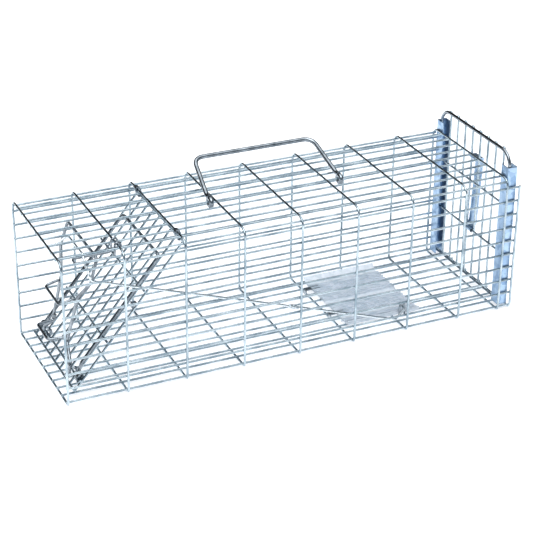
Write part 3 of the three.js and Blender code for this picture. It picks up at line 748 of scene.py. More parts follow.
# %% [markdown]
# ## Crimped clips
# A clip is a short strip of steel wrapped round two wires and pressed shut. Seen from its end it is a
# long ring. It is made as a band: an outline round both wires gets a thickness and a width, and a bevel
# takes the sharpness off its edges, because a press never leaves a perfect corner. A real clip is not
# closed, so a narrow seam is left where its two ends meet.

# %% A band round two wires
SEAM = 0.35
STRIP_EDGE = 0.15


def band_outline(a, b, radius, steps=10):
    """A stadium outline round points a and b, in two dimensions, as a list without its seam."""
    turn = math.atan2(b[1] - a[1], b[0] - a[0])
    points = []
    for middle, start in ((a, turn + math.pi / 2), (b, turn - math.pi / 2)):
        for i in range(steps + 1):
            t = start + math.pi * i / steps
            points.append((middle[0] + radius * math.cos(t), middle[1] + radius * math.sin(t)))
    return points


def closed_strip(name, inner, outer, width, middle, material, place):
    """A strip between two outlines of equal length, drawn in x and z and given a width along y."""
    sides = [middle - width / 2, middle + width / 2]
    count = len(inner)
    points = [(x, y, z) for y in sides for ring in (inner, outer) for x, z in ring]
    faces = []
    for i in range(count - 1):
        j = i + 1
        faces.append((i, j, count + j, count + i))
        faces.append((2 * count + i, 3 * count + i, 3 * count + j, 2 * count + j))
        faces.append((i, 2 * count + i, 2 * count + j, j))
        faces.append((count + i, count + j, 3 * count + j, 3 * count + i))
    for i in (0, count - 1):
        faces.append((i, count + i, 3 * count + i, 2 * count + i))
    mesh = bpy.data.meshes.new(name)
    mesh.from_pydata([(place @ Vector(p)) * MM for p in points], [], faces)
    mesh.materials.append(material)
    piece = bpy.data.objects.new(name, mesh)
    bpy.context.scene.collection.objects.link(piece)
    return soften(finish_mesh(piece), STRIP_EDGE)


def soften(piece, width):
    """Rounds the sharp edges of a piece by a bevel that is applied to its mesh."""
    work = bmesh.new()
    work.from_mesh(piece.data)
    sharp = [e for e in work.edges if len(e.link_faces) == 2 and e.calc_face_angle(0) > FLAT_ABOVE]
    bmesh.ops.bevel(work, geom=sharp, offset=width * MM, segments=2, profile=0.6, affect="EDGES")
    work.to_mesh(piece.data)
    work.free()
    return finish_mesh(piece)


def with_seam(outline):
    """Opens a closed outline at its start, leaving a narrow seam."""
    first, last = Vector(outline[0]), Vector(outline[-1])
    step = (first - last).normalized() * ((first - last).length - SEAM)
    return outline + [tuple(last + step)]


def clip(name, a, b, inner, width, middle, place):
    """A clip round two wires whose middles are a and b."""
    inside = with_seam(band_outline(a, b, inner))
    outside = with_seam(band_outline(a, b, inner + BAND))
    return closed_strip(name, inside, outside, width, middle, clip_steel, place)


# %% [markdown]
# ### The door's four clips
# Two clips go round the hoop's roof wire and the door's top cross wire. They are the hinge, so they are
# loose enough to turn. The other two hold the brace's feet to the wire that the lock frame swings on.

# %% Door clips
CLIP_LENGTH = 5.0
HINGE_CLIP_Y = 3.5 * MESH_PITCH
hinge_inner = WIRE * math.sqrt(0.5) + GAP
lock_clip_y = BRACE_HALF_WIDTH + BRACE_FOOT - CLIP_LENGTH / 2 + GAP
for name, side in (("near", -1), ("far", 1)):
    hinge_clip = clip(
        f"hinge_clip_band_{name}",
        (0, 0),
        (-DOOR_TOP, row_z),
        hinge_inner,
        CLIP_LENGTH,
        side * HINGE_CLIP_Y,
        on_door,
    )
    keep(hinge_clip, "front_door_body", "crimped_clip", f"hinge_clip_{name}")
    lock_clip = clip(
        f"lock_clip_band_{name}",
        (-lock_row, row_z),
        (foot_x, row_z),
        BRACE_ROD / 2 + GAP,
        CLIP_LENGTH,
        side * lock_clip_y,
        on_door,
    )
    keep(lock_clip, "front_door_body", "crimped_clip", f"lock_clip_{name}")

# %% [markdown]
# ## The lock frame
# One rod is bent into a tall frame: a hook at each foot turns on the door's cross wire, the legs lean in
# to a waist, go up to the shoulders, spread to the elbows and join in a top bar. When the door is shut the
# frame stands up under the roof and the door can't be pushed open. Two loops are fixed to it: a finger
# pulls the upper one, and the lower one reaches out to the front hoop.

# %% Lock frame rod
LOCK_ROD = 2.8
LOCK_HEADROOM = 15.2
LOCK_LEAN = math.radians(76.6)
LOCK_FOOT = 34.0
LOCK_WAIST = 18.5
LOCK_SHOULDER = 21.0
LOCK_ELBOW = 37.5
LOCK_TOP = 36.0
LOCK_BOW = 3.6
LOCK_BENDS_AT = (0.19, 0.59, 0.79)

lock_pivot = on_door @ Vector((-lock_row, 0, row_z))
on_lock = Matrix.Translation(lock_pivot) @ Matrix.Rotation(-LOCK_LEAN, 4, "Y")
lock_reach = (top - LOCK_HEADROOM - lock_pivot.z) / math.sin(LOCK_LEAN)
waist, shoulder, elbow = (share * lock_reach for share in LOCK_BENDS_AT)
shoulder_bow = 0.8 * LOCK_BOW
elbow_bow = 0.4 * LOCK_BOW


def hook_line(radius, side):
    """Three quarters of a turn round the cross wire, from its tip."""
    turns = [math.pi / 2 + 1.5 * math.pi * i / 16 for i in range(16, -1, -1)]
    return [(radius * math.cos(t), side * LOCK_FOOT, radius * math.sin(t)) for t in turns]


eye = WIRE * math.sqrt(0.5) + EASE + LOCK_ROD / 2
lock_line = mirrored(
    hook_line(eye, -1)
    + [
        (eye + LOCK_ROD, -LOCK_FOOT, eye),
        (waist, -LOCK_WAIST, LOCK_BOW),
        (shoulder, -LOCK_SHOULDER, shoulder_bow),
        (elbow, -LOCK_ELBOW, elbow_bow),
        (lock_reach, -LOCK_TOP, 0),
    ]
)
lock_rod = wires(
    "lock_frame_rod", [lock_line], LOCK_ROD, bright_rod, bend=4, step=1.2, sides=16, place=on_lock
)
keep(lock_rod, "lock_frame_body", "bright_rod", "lock_frame")

# %% [markdown]
# ### Two loops on the frame
# Each loop is a U of thinner rod. Its two ends lie along the inside of the frame's legs, then it turns out
# to its end bar, dipping by an angle that keeps the bar where a finger or a hook can reach it.

# %% Finger loop and foot loop
LOOP_ROD = 2.4
LOOP_REACH = 15.0
LOOP_TAIL = 5.0
FINGER_DIP = math.radians(28)
FINGER_AT = 0.97
FOOT_LOOP_HALF_WIDTH = 14.0
FOOT_LOOP_RISE = 2.0


def loop_line(foot, bow, tail, inner, outer, dip):
    """A loop that runs along the frame's legs to its foot, then out to its end bar, dipping as it goes."""
    end = (foot - LOOP_REACH * math.sin(dip), -outer, bow + LOOP_REACH * math.cos(dip))
    return mirrored([(foot + tail, -inner, bow), (foot, -inner, bow), end])


finger_foot = FINGER_AT * shoulder
finger_y = LOCK_SHOULDER - LOCK_ROD / 2 - GAP - LOOP_ROD / 2
finger_line = loop_line(finger_foot, shoulder_bow, -LOOP_TAIL, finger_y, finger_y, FINGER_DIP)
foot_y = LOCK_WAIST - LOCK_ROD / 2 - GAP - LOOP_ROD / 2
foot_lean = math.pi / 2 - LOCK_LEAN
foot_line = loop_line(waist + FOOT_LOOP_RISE, LOCK_BOW, LOOP_TAIL, foot_y, FOOT_LOOP_HALF_WIDTH, foot_lean)
for name, line, node in (
    ("finger_loop_rod", finger_line, "finger_loop"),
    ("foot_loop_rod", foot_line, "foot_loop"),
):
    loop = wires(name, [line], LOOP_ROD, bright_rod, bend=3, step=1.0, sides=14, place=on_lock)
    keep(loop, "lock_frame_body", "bright_rod", node)

# %% [markdown]
# ### Lock frame welds
# The loops lie against the inside of the frame's legs and are spot welded there in two places each, so a
# nugget bridges each pair of rods.

# %% Welding the loops
LOOP_NUGGET = 2.2
LOOP_NUGGET_THICKNESS = 1.5
FINGER_WELDS_AT = (-3.5, -1.0)
FOOT_WELDS_AT = (4.0, 6.0)
weld_places = [(finger_foot + a, shoulder_bow, finger_y) for a in FINGER_WELDS_AT]
weld_places += [(waist + a, LOCK_BOW, foot_y) for a in FOOT_WELDS_AT]
loop_spots = [
    ((x, side * (y + LOOP_ROD / 2 + GAP / 2), bow), (0, 1, 0))
    for side in (-1, 1)
    for x, bow, y in weld_places
]
loop_welds = welds(
    "lock_frame_welds", loop_spots, LOOP_NUGGET, LOOP_NUGGET_THICKNESS, bright_rod, seed=7, place=on_lock
)
keep(loop_welds, "lock_frame_body", "bright_rod")

# %% [markdown]
# ## Sheet parts
# The channels, the pan and the latch are all folded from thin sheet. Each has one section that is the
# same all along it, so a section line is enough: it is thickened to the sheet's thickness on one side,
# its folds are rounded as a brake rounds them, and it is pushed along the trap or across it.

# %% Folding a section
SHEARED_EDGE = 0.12
MOST_OF_A_SIDE = 0.45
LEAST_SPREAD = 0.3


def rounded_line(points, radius, steps=4):
    """Rounds the corners of a line in two dimensions by arcs that touch both sides."""
    out = [Vector(points[0])]
    for a, b, c in zip(points, points[1:], points[2:]):
        a, b, c = Vector(a), Vector(b), Vector(c)
        to_a, to_c = (a - b).normalized(), (c - b).normalized()
        angle = to_a.angle(to_c)
        room = [MOST_OF_A_SIDE * (end - b).length for end in (a, c)]
        cut = min(radius / math.tan(angle / 2), *room)
        start, end = b + to_a * cut, b + to_c * cut
        for i in range(steps + 1):
            t = i / steps
            out.append((1 - t) ** 2 * start + 2 * t * (1 - t) * b + t * t * end)
    out.append(Vector(points[-1]))
    return out


def offset_line(points, distance):
    """The line moved to its left by a distance, with its corners kept sharp enough to match."""
    out = []
    for i, p in enumerate(points):
        before = (p - points[i - 1]).normalized() if i else None
        after = (points[i + 1] - p).normalized() if i < len(points) - 1 else None
        one, two = before or after, after or before
        left = (Vector((-one.y, one.x)) + Vector((-two.y, two.x))).normalized()
        out.append(p + left * (distance / max(left.dot(Vector((-one.y, one.x))), LEAST_SPREAD)))
    return out


def folded(name, line, thickness, start, end, material, across=False, bend=0.8, cuts=1, place=UNMOVED):
    """A folded strip: its section line is in y and z and runs along x, or in x and z and runs along y."""
    section = rounded_line(line, bend)
    rings = section + list(reversed(offset_line(section, thickness)))
    stations = [start + (end - start) * i / cuts for i in range(cuts + 1)]
    count = len(rings)
    points = [(a, s, b) if across else (s, a, b) for s in stations for a, b in rings]
    faces = []
    for k in range(cuts):
        for i in range(count):
            j = (i + 1) % count
            faces.append((k * count + i, k * count + j, (k + 1) * count + j, (k + 1) * count + i))
    caps = len(section)
    for k in (0, cuts):
        for i in range(caps - 1):
            far = count - 1 - i
            faces.append((k * count + i, k * count + i + 1, k * count + far - 1, k * count + far))
    mesh = bpy.data.meshes.new(name)
    mesh.from_pydata([(place @ Vector(p)) * MM for p in points], [], faces)
    mesh.materials.append(material)
    piece = bpy.data.objects.new(name, mesh)
    bpy.context.scene.collection.objects.link(piece)
    return soften(finish_mesh(piece), SHEARED_EDGE)


# %% [markdown]
# ## Channels for the rear door
# Two U channels stand just behind the last hoop, open towards each other, and the rear door slides in
# them. They stand a little taller than the cage. Each is folded from strip round its height, so its
# section lies flat and the strip is turned upright by a matrix.

# %% Channels
CHANNEL_SHEET = 1.0
upright = Matrix(((0, 1, 0, 0), (0, 0, 1, 0), (1, 0, 0, 0), (0, 0, 0, 1)))
for name, side in (("near", -1), ("far", 1)):
    low, high = box_mm(f"channel_{name}")
    web, lip = (low.y, high.y) if side < 0 else (high.y, low.y)
    section = [(low.x, lip), (low.x, web), (high.x, web), (high.x, lip)]
    thickness = CHANNEL_SHEET * (1 if side < 0 else -1)
    channel = folded(
        f"rear_channel_{name}",
        section,
        thickness,
        low.z,
        high.z,
        zinc_sheet,
        bend=1.2,
        cuts=12,
        place=upright,
    )
    keep(channel, "cage", "galvanised_sheet", f"channel_{name}")

# %% [markdown]
# ## The trip pan
# The pan is a plate on the floor that an animal treads on. Its far edge is turned up at 45 degrees and
# its near edge has a low flange. Two straps hang it on a hoop's floor wire, and a wire eye on its near
# edge pulls the trip rod. Thin sheet is never quite flat, so the plate gets a slow ripple.

# %% Pan plate
PAN_SHEET = 0.8
PAN_LIP = 3.5
PAN_FOLD_INSET = 0.2
PAN_EDGE_INSET = 0.3
PAN_RIPPLE = 0.25
PAN_WAVES = 2.5
WAVES_START = 0.7
pan_low, pan_high = box_mm("pan_plate")
pan_half = -pan_low.y
pan_flange = pan_high.y - pan_half
pan_section = [
    (-pan_half + PAN_SHEET / 2, pan_low.z + PAN_SHEET + PAN_LIP),
    (-pan_half + PAN_SHEET / 2, pan_low.z + PAN_SHEET / 2),
    (pan_half - PAN_FOLD_INSET, pan_low.z + PAN_SHEET / 2),
    (pan_high.y - PAN_EDGE_INSET, pan_low.z + pan_flange),
]


def subdivided(line, pieces):
    """Cuts the longest stretch of a line into pieces, so that it can be bent."""
    lengths = [math.dist(a, b) for a, b in zip(line, line[1:])]
    at = lengths.index(max(lengths))
    a, b = Vector(line[at]), Vector(line[at + 1])
    middle = [tuple(a.lerp(b, i / pieces)) for i in range(1, pieces)]
    return line[: at + 1] + middle + line[at + 1 :]


def ripple(piece, node, depth, waves):
    """Gives a sheet that lies flat a slow ripple, which dies out at all four edges."""
    low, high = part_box(node)
    for vertex in piece.data.vertices:
        along = (vertex.co.x - low.x) / (high.x - low.x)
        over = (vertex.co.y - low.y) / (high.y - low.y)
        swell = math.sin(math.pi * along) * math.sin(math.pi * waves * over + WAVES_START)
        vertex.co.z += depth * MM * swell * math.sin(math.pi * over)
    return piece


# The pan wears the paler zinc copy, whose colours are painted light on its upward face.
pan = folded(
    "pan_sheet",
    subdivided(pan_section, pieces=20),
    PAN_SHEET,
    pan_low.x,
    pan_high.x,
    pan_painted_light_sheet,
    bend=0.9,
    cuts=24,
)
ripple(pan, "pan_plate", PAN_RIPPLE, PAN_WAVES)
keep(pan, "trip_pan_body", "galvanised_sheet", "pan_plate")

# %% [markdown]
# ### The pan's straps
# Each strap is an L of thin strip. It stands in front of the hoop's floor wire, and its tongue goes back
# over that wire and lies on the plate. Nothing closes it below, so the pan stays as low as the cage.

# %% Pan straps
for name in ("near", "far"):
    low, high = box_mm(f"pan_clip_{name}")
    inner = low.x + BAND
    line = [(inner, low.z), (inner, high.z), (high.x, high.z)]
    strap = folded(f"pan_strap_{name}", line, -BAND, low.y, high.y, clip_steel, across=True, bend=1.0)
    keep(strap, "trip_pan_body", "crimped_clip", f"pan_clip_{name}")

# %% [markdown]
# ### The pan's eye
# A bent wire stands on the pan's near edge like a croquet hoop, and the end of the trip rod turns in it.

# %% Pan eye
PAN_EYE_ROD = 1.8
TRIP_ROD = 2.0
PAN_EYE_RISE = 12.5
EYE_FOOT_RISE = 0.1
eye_low, eye_high = box_mm("pan_eye")
eye_y = (eye_low.y + eye_high.y) / 2
eye_x = (eye_low.x + eye_high.x) / 2
eye_radius = TRIP_ROD / 2 + EASE + PAN_EYE_ROD / 2
eye_turns = [math.pi * (1 - i / 12) for i in range(13)]
eye_arc = [
    (eye_x + eye_radius * math.cos(t), eye_y, PAN_EYE_RISE + eye_radius * math.sin(t)) for t in eye_turns
]
eye_foot = eye_low.z + EYE_FOOT_RISE
eye_line = [(eye_x - eye_radius, eye_y, eye_foot)] + eye_arc + [(eye_x + eye_radius, eye_y, eye_foot)]
pan_eye = wires("pan_eye_wire", [eye_line], PAN_EYE_ROD, bright_rod, bend=ALREADY_BENT, step=0.8)
keep(pan_eye, "trip_pan_body", "bright_rod", "pan_eye")

# %% [markdown]
# ## The trip rod
# One long thin rod does the trap's work. Its rear end turns in the pan's eye, it runs forward and up in
# the gap beside the door, goes through a hairpin guide on the second hoop, and ends in a catch that the
# door's finger loop rests on while the trap is set. Its points repeat the places that the solid rod has.

# %% Trip rod
TRIP_ROD_INSET = 7.6
TRIP_ROD_FRONT_DROP = 23.0
TRIP_ROD_REAR_Z = 9.7
TRIP_ROD_REAR_BACK = 14.0
ROD_TAIL = 5.0
ROD_TURN = 4.0
LEG_SLANT = 1.0
LEG_LEAN = 1.0
KNEE_DROP = 8.0
CATCH_INSET = 6.0
CATCH_DROP = 6.7
CATCH_REACH = 13.0
CATCH_DIP = 6.8
GUIDE_ROD = 1.8
GUIDE_HOOP = 1
GUIDE_LEG = 26.4
GUIDE_DROP = 10.0

rod_y = -half + TRIP_ROD_INSET
leg_x = hoops[GUIDE_HOOP] - GUIDE_LEG
guide_y = -3.5 * MESH_PITCH
guide_z = top - GUIDE_DROP
catch_z = top - CATCH_DROP
rise = catch_z - guide_z
rod_rear = Vector((eye_x - TRIP_ROD_REAR_BACK, rod_y, TRIP_ROD_REAR_Z))
rod_front = Vector((leg_x + LEG_SLANT, rod_y, top - TRIP_ROD_FRONT_DROP))
trip_line = [
    (eye_x, eye_y + ROD_TAIL, PAN_EYE_RISE),
    (eye_x, eye_y - ROD_TURN, PAN_EYE_RISE),
    rod_rear,
    rod_front,
    (leg_x, rod_y + LEG_LEAN, guide_z - KNEE_DROP),
    (leg_x, guide_y + 0.2 * GUIDE_ROD - rise, guide_z - rise),
    (leg_x, guide_y + 0.4 * GUIDE_ROD + rise, catch_z),
    (leg_x, -CATCH_INSET, catch_z),
    (leg_x - CATCH_REACH, -CATCH_INSET, catch_z - CATCH_DIP),
]
trip_rod = wires("trip_rod_wire", [trip_line], TRIP_ROD, sliding_wire, bend=3, step=1.5, sides=14)
keep(trip_rod, "trip_rod_body", "bright_rod", "trip_rod")

# %% [markdown]
# ### The sleeve on the rod
# A short tube is crimped on the rod. It is turned from a profile by the bmesh spin operator, then laid
# along the rod by a matrix, because a tube is round but its wall isn't straight.

# %% Rod sleeve
SLEEVE_LENGTH = 8.0
SLEEVE_AT = 0.36
SLEEVE_BORE = TRIP_ROD / 2 + 0.05
CRIMP_BITE = 0.35


def sleeve():
    """A short tube crimped round the rod: its wall narrows where the press has bitten twice."""
    along = (rod_front - rod_rear).normalized()
    middle = rod_rear.lerp(rod_front, SLEEVE_AT)
    turn = along.to_track_quat("Z", "Y").to_matrix().to_4x4()
    place = Matrix.Translation(middle) @ turn
    outer = TRIP_ROD / 2 + GAP + BAND
    shares = [i / 16 for i in range(17)]
    profile = [(SLEEVE_BORE, -SLEEVE_LENGTH / 2)]
    profile += [
        (outer - CRIMP_BITE * math.sin(2 * math.pi * s) ** 2, SLEEVE_LENGTH * (s - 0.5)) for s in shares
    ]
    profile += [(SLEEVE_BORE, SLEEVE_LENGTH / 2)]
    work = bmesh.new()
    verts = [work.verts.new((r, 0, z)) for r, z in profile]
    edges = [work.edges.new(pair) for pair in zip(verts, verts[1:] + verts[:1])]
    full_turn = {"axis": (0, 0, 1), "cent": (0, 0, 0), "angle": 2 * math.pi, "steps": 20}
    bmesh.ops.spin(work, geom=verts + edges, use_merge=True, **full_turn)
    mesh = bpy.data.meshes.new("rod_sleeve_crimp")
    work.to_mesh(mesh)
    work.free()
    mesh.transform(Matrix.Scale(MM, 4) @ place)
    mesh.materials.append(sliding_wire)
    piece = bpy.data.objects.new("rod_sleeve_crimp", mesh)
    bpy.context.scene.collection.objects.link(piece)
    return finish_mesh(piece)


keep(sleeve(), "trip_rod_body", "crimped_clip", "rod_sleeve")

# %% [markdown]
# ### The guide
# The rod is led between the two legs of a hairpin that hooks over the hoop's roof wire. Both legs have the
# same line, so one function draws it and the second leg is the first one reversed.

# %% Guide for the trip rod
GUIDE_LENGTH = 35.0
guide_hoop = hoops[GUIDE_HOOP]
guide_reach = WIRE / 2 + EASE + GUIDE_ROD / 2
guide_room = MESH_PITCH / 2 - WIRE / 2 - GAP - GUIDE_ROD / 2
hook_z = top - WIRE / 2


def guide_side(y):
    """One leg of the hairpin: over the roof wire, down and forward, to the hairpin's bend."""
    return [
        (guide_hoop + guide_reach, y, hook_z - 0.5 * guide_reach),
        (guide_hoop + guide_reach, y, hook_z + guide_reach),
        (guide_hoop - guide_reach, y, hook_z + guide_reach),
        (guide_hoop - guide_reach, y, guide_z),
        (guide_hoop - GUIDE_LENGTH, y, guide_z),
    ]


guide_line = guide_side(guide_y - guide_room) + guide_side(guide_y + guide_room)[::-1]
guide = wires("rod_guide_wire", [guide_line], GUIDE_ROD, bright_rod, bend=2.4, step=0.9)
keep(guide, "cage", "bright_rod", "rod_guide")

# %% [markdown]
# ## The corner clip
# A strip is crimped round the far post of the hoop that the door hangs on. It is a U seen from above, so
# its section lies flat, like the channels'.

# %% Corner clip
clip_low, clip_high = box_mm("corner_clip")
clip_section = [
    (clip_low.x, clip_low.y),
    (clip_low.x, clip_high.y),
    (clip_high.x, clip_high.y),
    (clip_high.x, clip_low.y),
]
corner = folded(
    "corner_clip_band",
    clip_section,
    -BAND,
    clip_low.z,
    clip_high.z,
    clip_steel,
    bend=1.1,
    cuts=2,
    place=upright,
)
keep(corner, "cage", "crimped_clip", "corner_clip")

# %% [markdown]
# ## The rear door
# A thick rod bent into a U with wide corners carries a mesh of thin wires. The thin wires are laid on
# the rod and melted to it, so each one ends in a plain blob, larger than the cage's nuggets.

# %% Rear door
REAR_ROD = 3.0
REAR_CORNER = 13.0
REAR_WIRES = 8
REAR_ROW_PITCH = 45.8
REAR_BLOB = 4.2
REAR_BLOB_THICKNESS = 3.0
REAR_RISE = 21.0

rear_low = box_mm("rear_door_panel")[0]
rear_x = rear_low.x + REAR_ROD / 2
rear_half = half - layer - GAP - CHANNEL_SHEET - EASE - REAR_ROD / 2
rear_bottom = rear_low.z
rear_top = top + REAR_RISE - REAR_ROD / 2
rear_wire_x = rear_x + REAR_ROD / 2 + WIRE / 2 - 2 * WELD
rear_frame_line = [
    (rear_x, -rear_half, rear_bottom),
    (rear_x, -rear_half, rear_top),
    (rear_x, rear_half, rear_top),
    (rear_x, rear_half, rear_bottom),
]
rear_frame = wires(
    "rear_door_rod", [rear_frame_line], REAR_ROD, bright_rod, bend=REAR_CORNER, step=2.0, sides=16
)
keep(rear_frame, "rear_door_body", "bright_rod", "rear_door_panel")

rear_places = spread(REAR_WIRES, (REAR_WIRES - 1) / 2 * MESH_PITCH)
rear_rows = [rear_bottom + WIRE / 2 + i * REAR_ROW_PITCH for i in range(3)]
rear_lines = [[(rear_x, -rear_half, z), (rear_x, rear_half, z)] for z in rear_rows]
rear_lines += [[(rear_wire_x, y, rear_bottom), (rear_wire_x, y, rear_top)] for y in rear_places]
rear_mesh = wires("rear_door_wires", rear_lines, WIRE, zinc_wire, wobble=0.25)
keep(rear_mesh, "rear_door_body", "galvanised_mesh")

# %% [markdown]
# ### Welding the rear door
# The same tree makes both kinds of joint: small nuggets where the thin wires cross, and the wide blobs on
# the top rod.

# %% Rear door welds
top_joint = rear_x + REAR_ROD / 2 - WELD
row_joint = rear_x + WIRE / 2
rear_blobs = [((top_joint, y, rear_top), (1, 0, 0)) for y in rear_places]
rear_spots = [((row_joint, y, z), (1, 0, 0)) for y in rear_places for z in rear_rows]
rear_spots += [((rear_x, s * (rear_half - REAR_ROD / 2), z), (0, 1, 0)) for s in (-1, 1) for z in rear_rows]
blobs = welds("rear_door_blobs", rear_blobs, REAR_BLOB, REAR_BLOB_THICKNESS, zinc_wire, seed=11)
keep(blobs, "rear_door_body", "galvanised_mesh")
rear_welds = welds("rear_door_welds", rear_spots, NUGGET, NUGGET_THICKNESS, zinc_wire, seed=13)
keep(rear_welds, "rear_door_body", "galvanised_mesh")

# %% [markdown]
# ## The rear latch
# A strip of sheet is curled round one of the door's cross wires at its foot, lies behind the wires, and
# has a tab at its top that catches under the last hoop. Lifting the door starts by pressing the strip out.

# %% Latch strip
LATCH_SHEET = 0.8
LATCH_WIDTH = 12.0
LATCH_HEIGHT = 70.0
LATCH_REST = math.radians(2.5)
LATCH_KNEE = 6.0
CURL_START, CURL_LENGTH = 1.8, 1.7

latch_pivot = Vector((rear_x, 0, rear_rows[1]))
on_latch = Matrix.Translation(latch_pivot) @ Matrix.Rotation(LATCH_REST, 4, "Y")
curl_inner = WIRE * math.sqrt(0.5) + GAP
latch_front = rear_wire_x + WIRE / 2 + GAP - rear_x
tip_x = last_hoop + WIRE / 2 + EASE - rear_x - LATCH_HEIGHT * math.sin(LATCH_REST)
latch_tip = tip_x / math.cos(LATCH_REST)
curl_turns = [math.pi * (CURL_START - CURL_LENGTH * i / 14) for i in range(14)]
latch_section = [(curl_inner * math.cos(t), curl_inner * math.sin(t)) for t in curl_turns]
latch_section += [
    (latch_front, LATCH_KNEE),
    (latch_front, LATCH_HEIGHT - LATCH_SHEET),
    (latch_tip, LATCH_HEIGHT - LATCH_SHEET),
]
latch = folded(
    "latch_sheet",
    latch_section,
    -LATCH_SHEET,
    -LATCH_WIDTH / 2,
    LATCH_WIDTH / 2,
    zinc_sheet,
    across=True,
    bend=0.6,
    cuts=6,
    place=on_latch,
)
keep(latch, "rear_latch_body", "galvanised_sheet", "latch_strip")

# %% [markdown]
# ## The carry handle
# The handle is one thick rod. Each end is bent round the cage's middle roof wire into an eye, so the
# handle flops to either side and stands up when it is lifted.

# %% Handle
HANDLE_ROD = 4.0
HANDLE_HOOP = 3
HANDLE_FOOT = 59.5
HANDLE_TOP = 55.1
HANDLE_LENGTH = 50.0
HANDLE_CORNER = 9.0
HANDLE_LEAN = math.radians(66.4)
EYE_DEGREES = range(50, -271, -20)

handle_front = hoops[HANDLE_HOOP] - WIRE / 2 - EASE - HANDLE_ROD / 2
handle_pivot = Vector((handle_front + HANDLE_FOOT, 0, top - layer + WIRE / 2))
on_handle = Matrix.Translation(handle_pivot) @ Matrix.Rotation(-HANDLE_LEAN, 4, "X")
ring = WIRE * math.sqrt(0.5) + GAP + HANDLE_ROD / 2


def handle_eye(side):
    """A turn round the roof wire, from the rod's cut end to where the leg begins."""
    turns = [math.radians(a) for a in EYE_DEGREES]
    return [(side * HANDLE_FOOT, -ring * math.sin(t), ring * math.cos(t)) for t in turns]


handle_line = (
    handle_eye(-1)[:-1]
    + [
        (-HANDLE_FOOT, 0, ring + HANDLE_ROD),
        (-HANDLE_TOP, 0, HANDLE_LENGTH),
        (HANDLE_TOP, 0, HANDLE_LENGTH),
        (HANDLE_FOOT, 0, ring + HANDLE_ROD),
    ]
    + handle_eye(1)[:-1][::-1]
)
handle = wires(
    "handle_rod",
    [handle_line],
    HANDLE_ROD,
    bright_rod,
    bend=HANDLE_CORNER,
    step=1.6,
    sides=20,
    place=on_handle,
)
keep(handle, "carry_handle_body", "bright_rod", "carry_handle")

# %% [markdown]
# ## Floor and light
# Bright metal shows what is round it, not itself. Under an even white sky a zinc wire would vanish
# against a white floor. A studio hangs black cards round such a thing: the walls are dark, one broad soft
# light hangs overhead, and the floor is a white table that is lit from inside. Each wire then has a
# bright line on top, a dark one along its side and a white glow from below.

# %% Floor, its sizes in metres
FLOOR_SIZE = 60.0
FLOOR_GAP = 0.0002
FLOOR_PAINT = "#e4e6e8"
FLOOR_LIGHT = "#fdfdff"
FLOOR_GLOW = 0.62


def matt_floor():
    """A white table that is lit a little from inside, so that it stays even under the wires."""
    material = bpy.data.materials.new("pale_matt_floor")
    material.use_nodes = True
    tree = material.node_tree
    tree.nodes.clear()
    shader = add(tree, "ShaderNodeBsdfPrincipled", {"Roughness": 0.9, "Specular IOR Level": 0.1})
    shader.inputs["Base Color"].default_value = linear(FLOOR_PAINT)
    shader.inputs["Emission Color"].default_value = linear(FLOOR_LIGHT)
    shader.inputs["Emission Strength"].default_value = FLOOR_GLOW
    add(tree, "ShaderNodeOutputMaterial", {"Surface": shader.outputs["BSDF"]})
    return material


floor_mesh = bpy.data.meshes.new("floor")
reach = FLOOR_SIZE / 2
floor_z = cad_box[0].z - FLOOR_GAP
corners = ((-reach, -reach), (reach, -reach), (reach, reach), (-reach, reach))
floor_mesh.from_pydata([(x, y, floor_z) for x, y in corners], [], [(0, 1, 2, 3)])
floor_mesh.materials.append(matt_floor())
floor = bpy.data.objects.new("floor", floor_mesh)
bpy.context.scene.collection.objects.link(floor)
floor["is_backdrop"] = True

# %% [markdown]
# ### The studio
# The world holds the whole studio: a direction's height decides between wall and overhead light, and how
# far it points away from the viewer shades the wall. What is seen straight on is a plain pale backdrop,
# picked by the Light Path node. One broad sun adds a soft direction to the light.

# %% Dark walls, soft light overhead
WALL = "#121416"
NEAR_WALL = "#7c8892"
SOFT_LIGHT = "#fbfdff"
BACKDROP = "#f4f5f6"
WALL_TURN = (-0.6, 0.4)
LIGHT_EDGE = (0.66, 0.86)
LIGHT_STRENGTH = 1.9
SUN_STRENGTH = 1.3
SUN_WIDTH = math.radians(50)
SUN_TURN = (math.radians(24), math.radians(-14), 0)


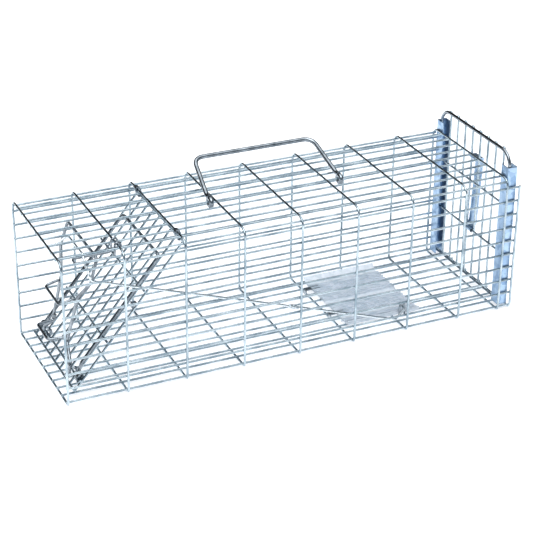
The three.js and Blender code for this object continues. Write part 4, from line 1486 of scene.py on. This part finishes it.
def make_studio():
    """What the metal reflects: dark walls, with a broad light overhead. The camera sees a pale backdrop."""
    world = bpy.data.worlds.new("studio")
    bpy.context.scene.world = world
    world.use_nodes = True
    tree = world.node_tree
    tree.nodes.clear()
    direction = add(tree, "ShaderNodeTexCoord").outputs["Generated"]
    parts = add(tree, "ShaderNodeSeparateXYZ", {0: direction})
    away = {"Value": parts.outputs["Y"], "From Min": WALL_TURN[0], "From Max": WALL_TURN[1]}
    near = add(tree, "ShaderNodeMapRange", {**away, "To Min": 1.0, "To Max": 0.0}).outputs[0]
    shades = {"Factor": near, "A": linear(WALL), "B": linear(NEAR_WALL)}
    wall = add(tree, "ShaderNodeMix", shades, data_type="RGBA").outputs["Result"]
    height = {"Value": parts.outputs["Z"], "From Min": LIGHT_EDGE[0], "From Max": LIGHT_EDGE[1]}
    overhead = add(tree, "ShaderNodeMapRange", height).outputs[0]
    light = [c * LIGHT_STRENGTH for c in linear(SOFT_LIGHT)]
    seen = add(tree, "ShaderNodeMix", {"Factor": overhead, "A": wall, "B": light}, data_type="RGBA")
    studio = add(tree, "ShaderNodeBackground", {"Color": seen.outputs["Result"]})
    backdrop = add(tree, "ShaderNodeBackground", {"Color": linear(BACKDROP)})
    straight = add(tree, "ShaderNodeLightPath").outputs["Is Camera Ray"]
    shown = add(tree, "ShaderNodeMixShader", {0: straight, 1: studio.outputs[0], 2: backdrop.outputs[0]})
    add(tree, "ShaderNodeOutputWorld", {"Surface": shown.outputs[0]})


def make_sun():
    """A sun so wide that its shadows have no edge."""
    data = bpy.data.lights.new("broad_sun", "SUN")
    data.energy = SUN_STRENGTH
    data.angle = SUN_WIDTH
    sun = bpy.data.objects.new("broad_sun", data)
    sun.rotation_euler = SUN_TURN
    bpy.context.scene.collection.objects.link(sun)


make_studio()
make_sun()
bpy.context.scene.view_settings.view_transform = "Standard"

# %% [markdown]
# ## Last checks
# The visual model is meant to fill the same box as the frame, so the two boxes are compared and the largest
# difference is printed.

# %% Comparing the boxes
visual_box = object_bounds()
differences = [abs(a - b) / MM for p, q in zip(cad_box, visual_box) for a, b in zip(p, q)]
print("largest difference in mm:", max(differences))
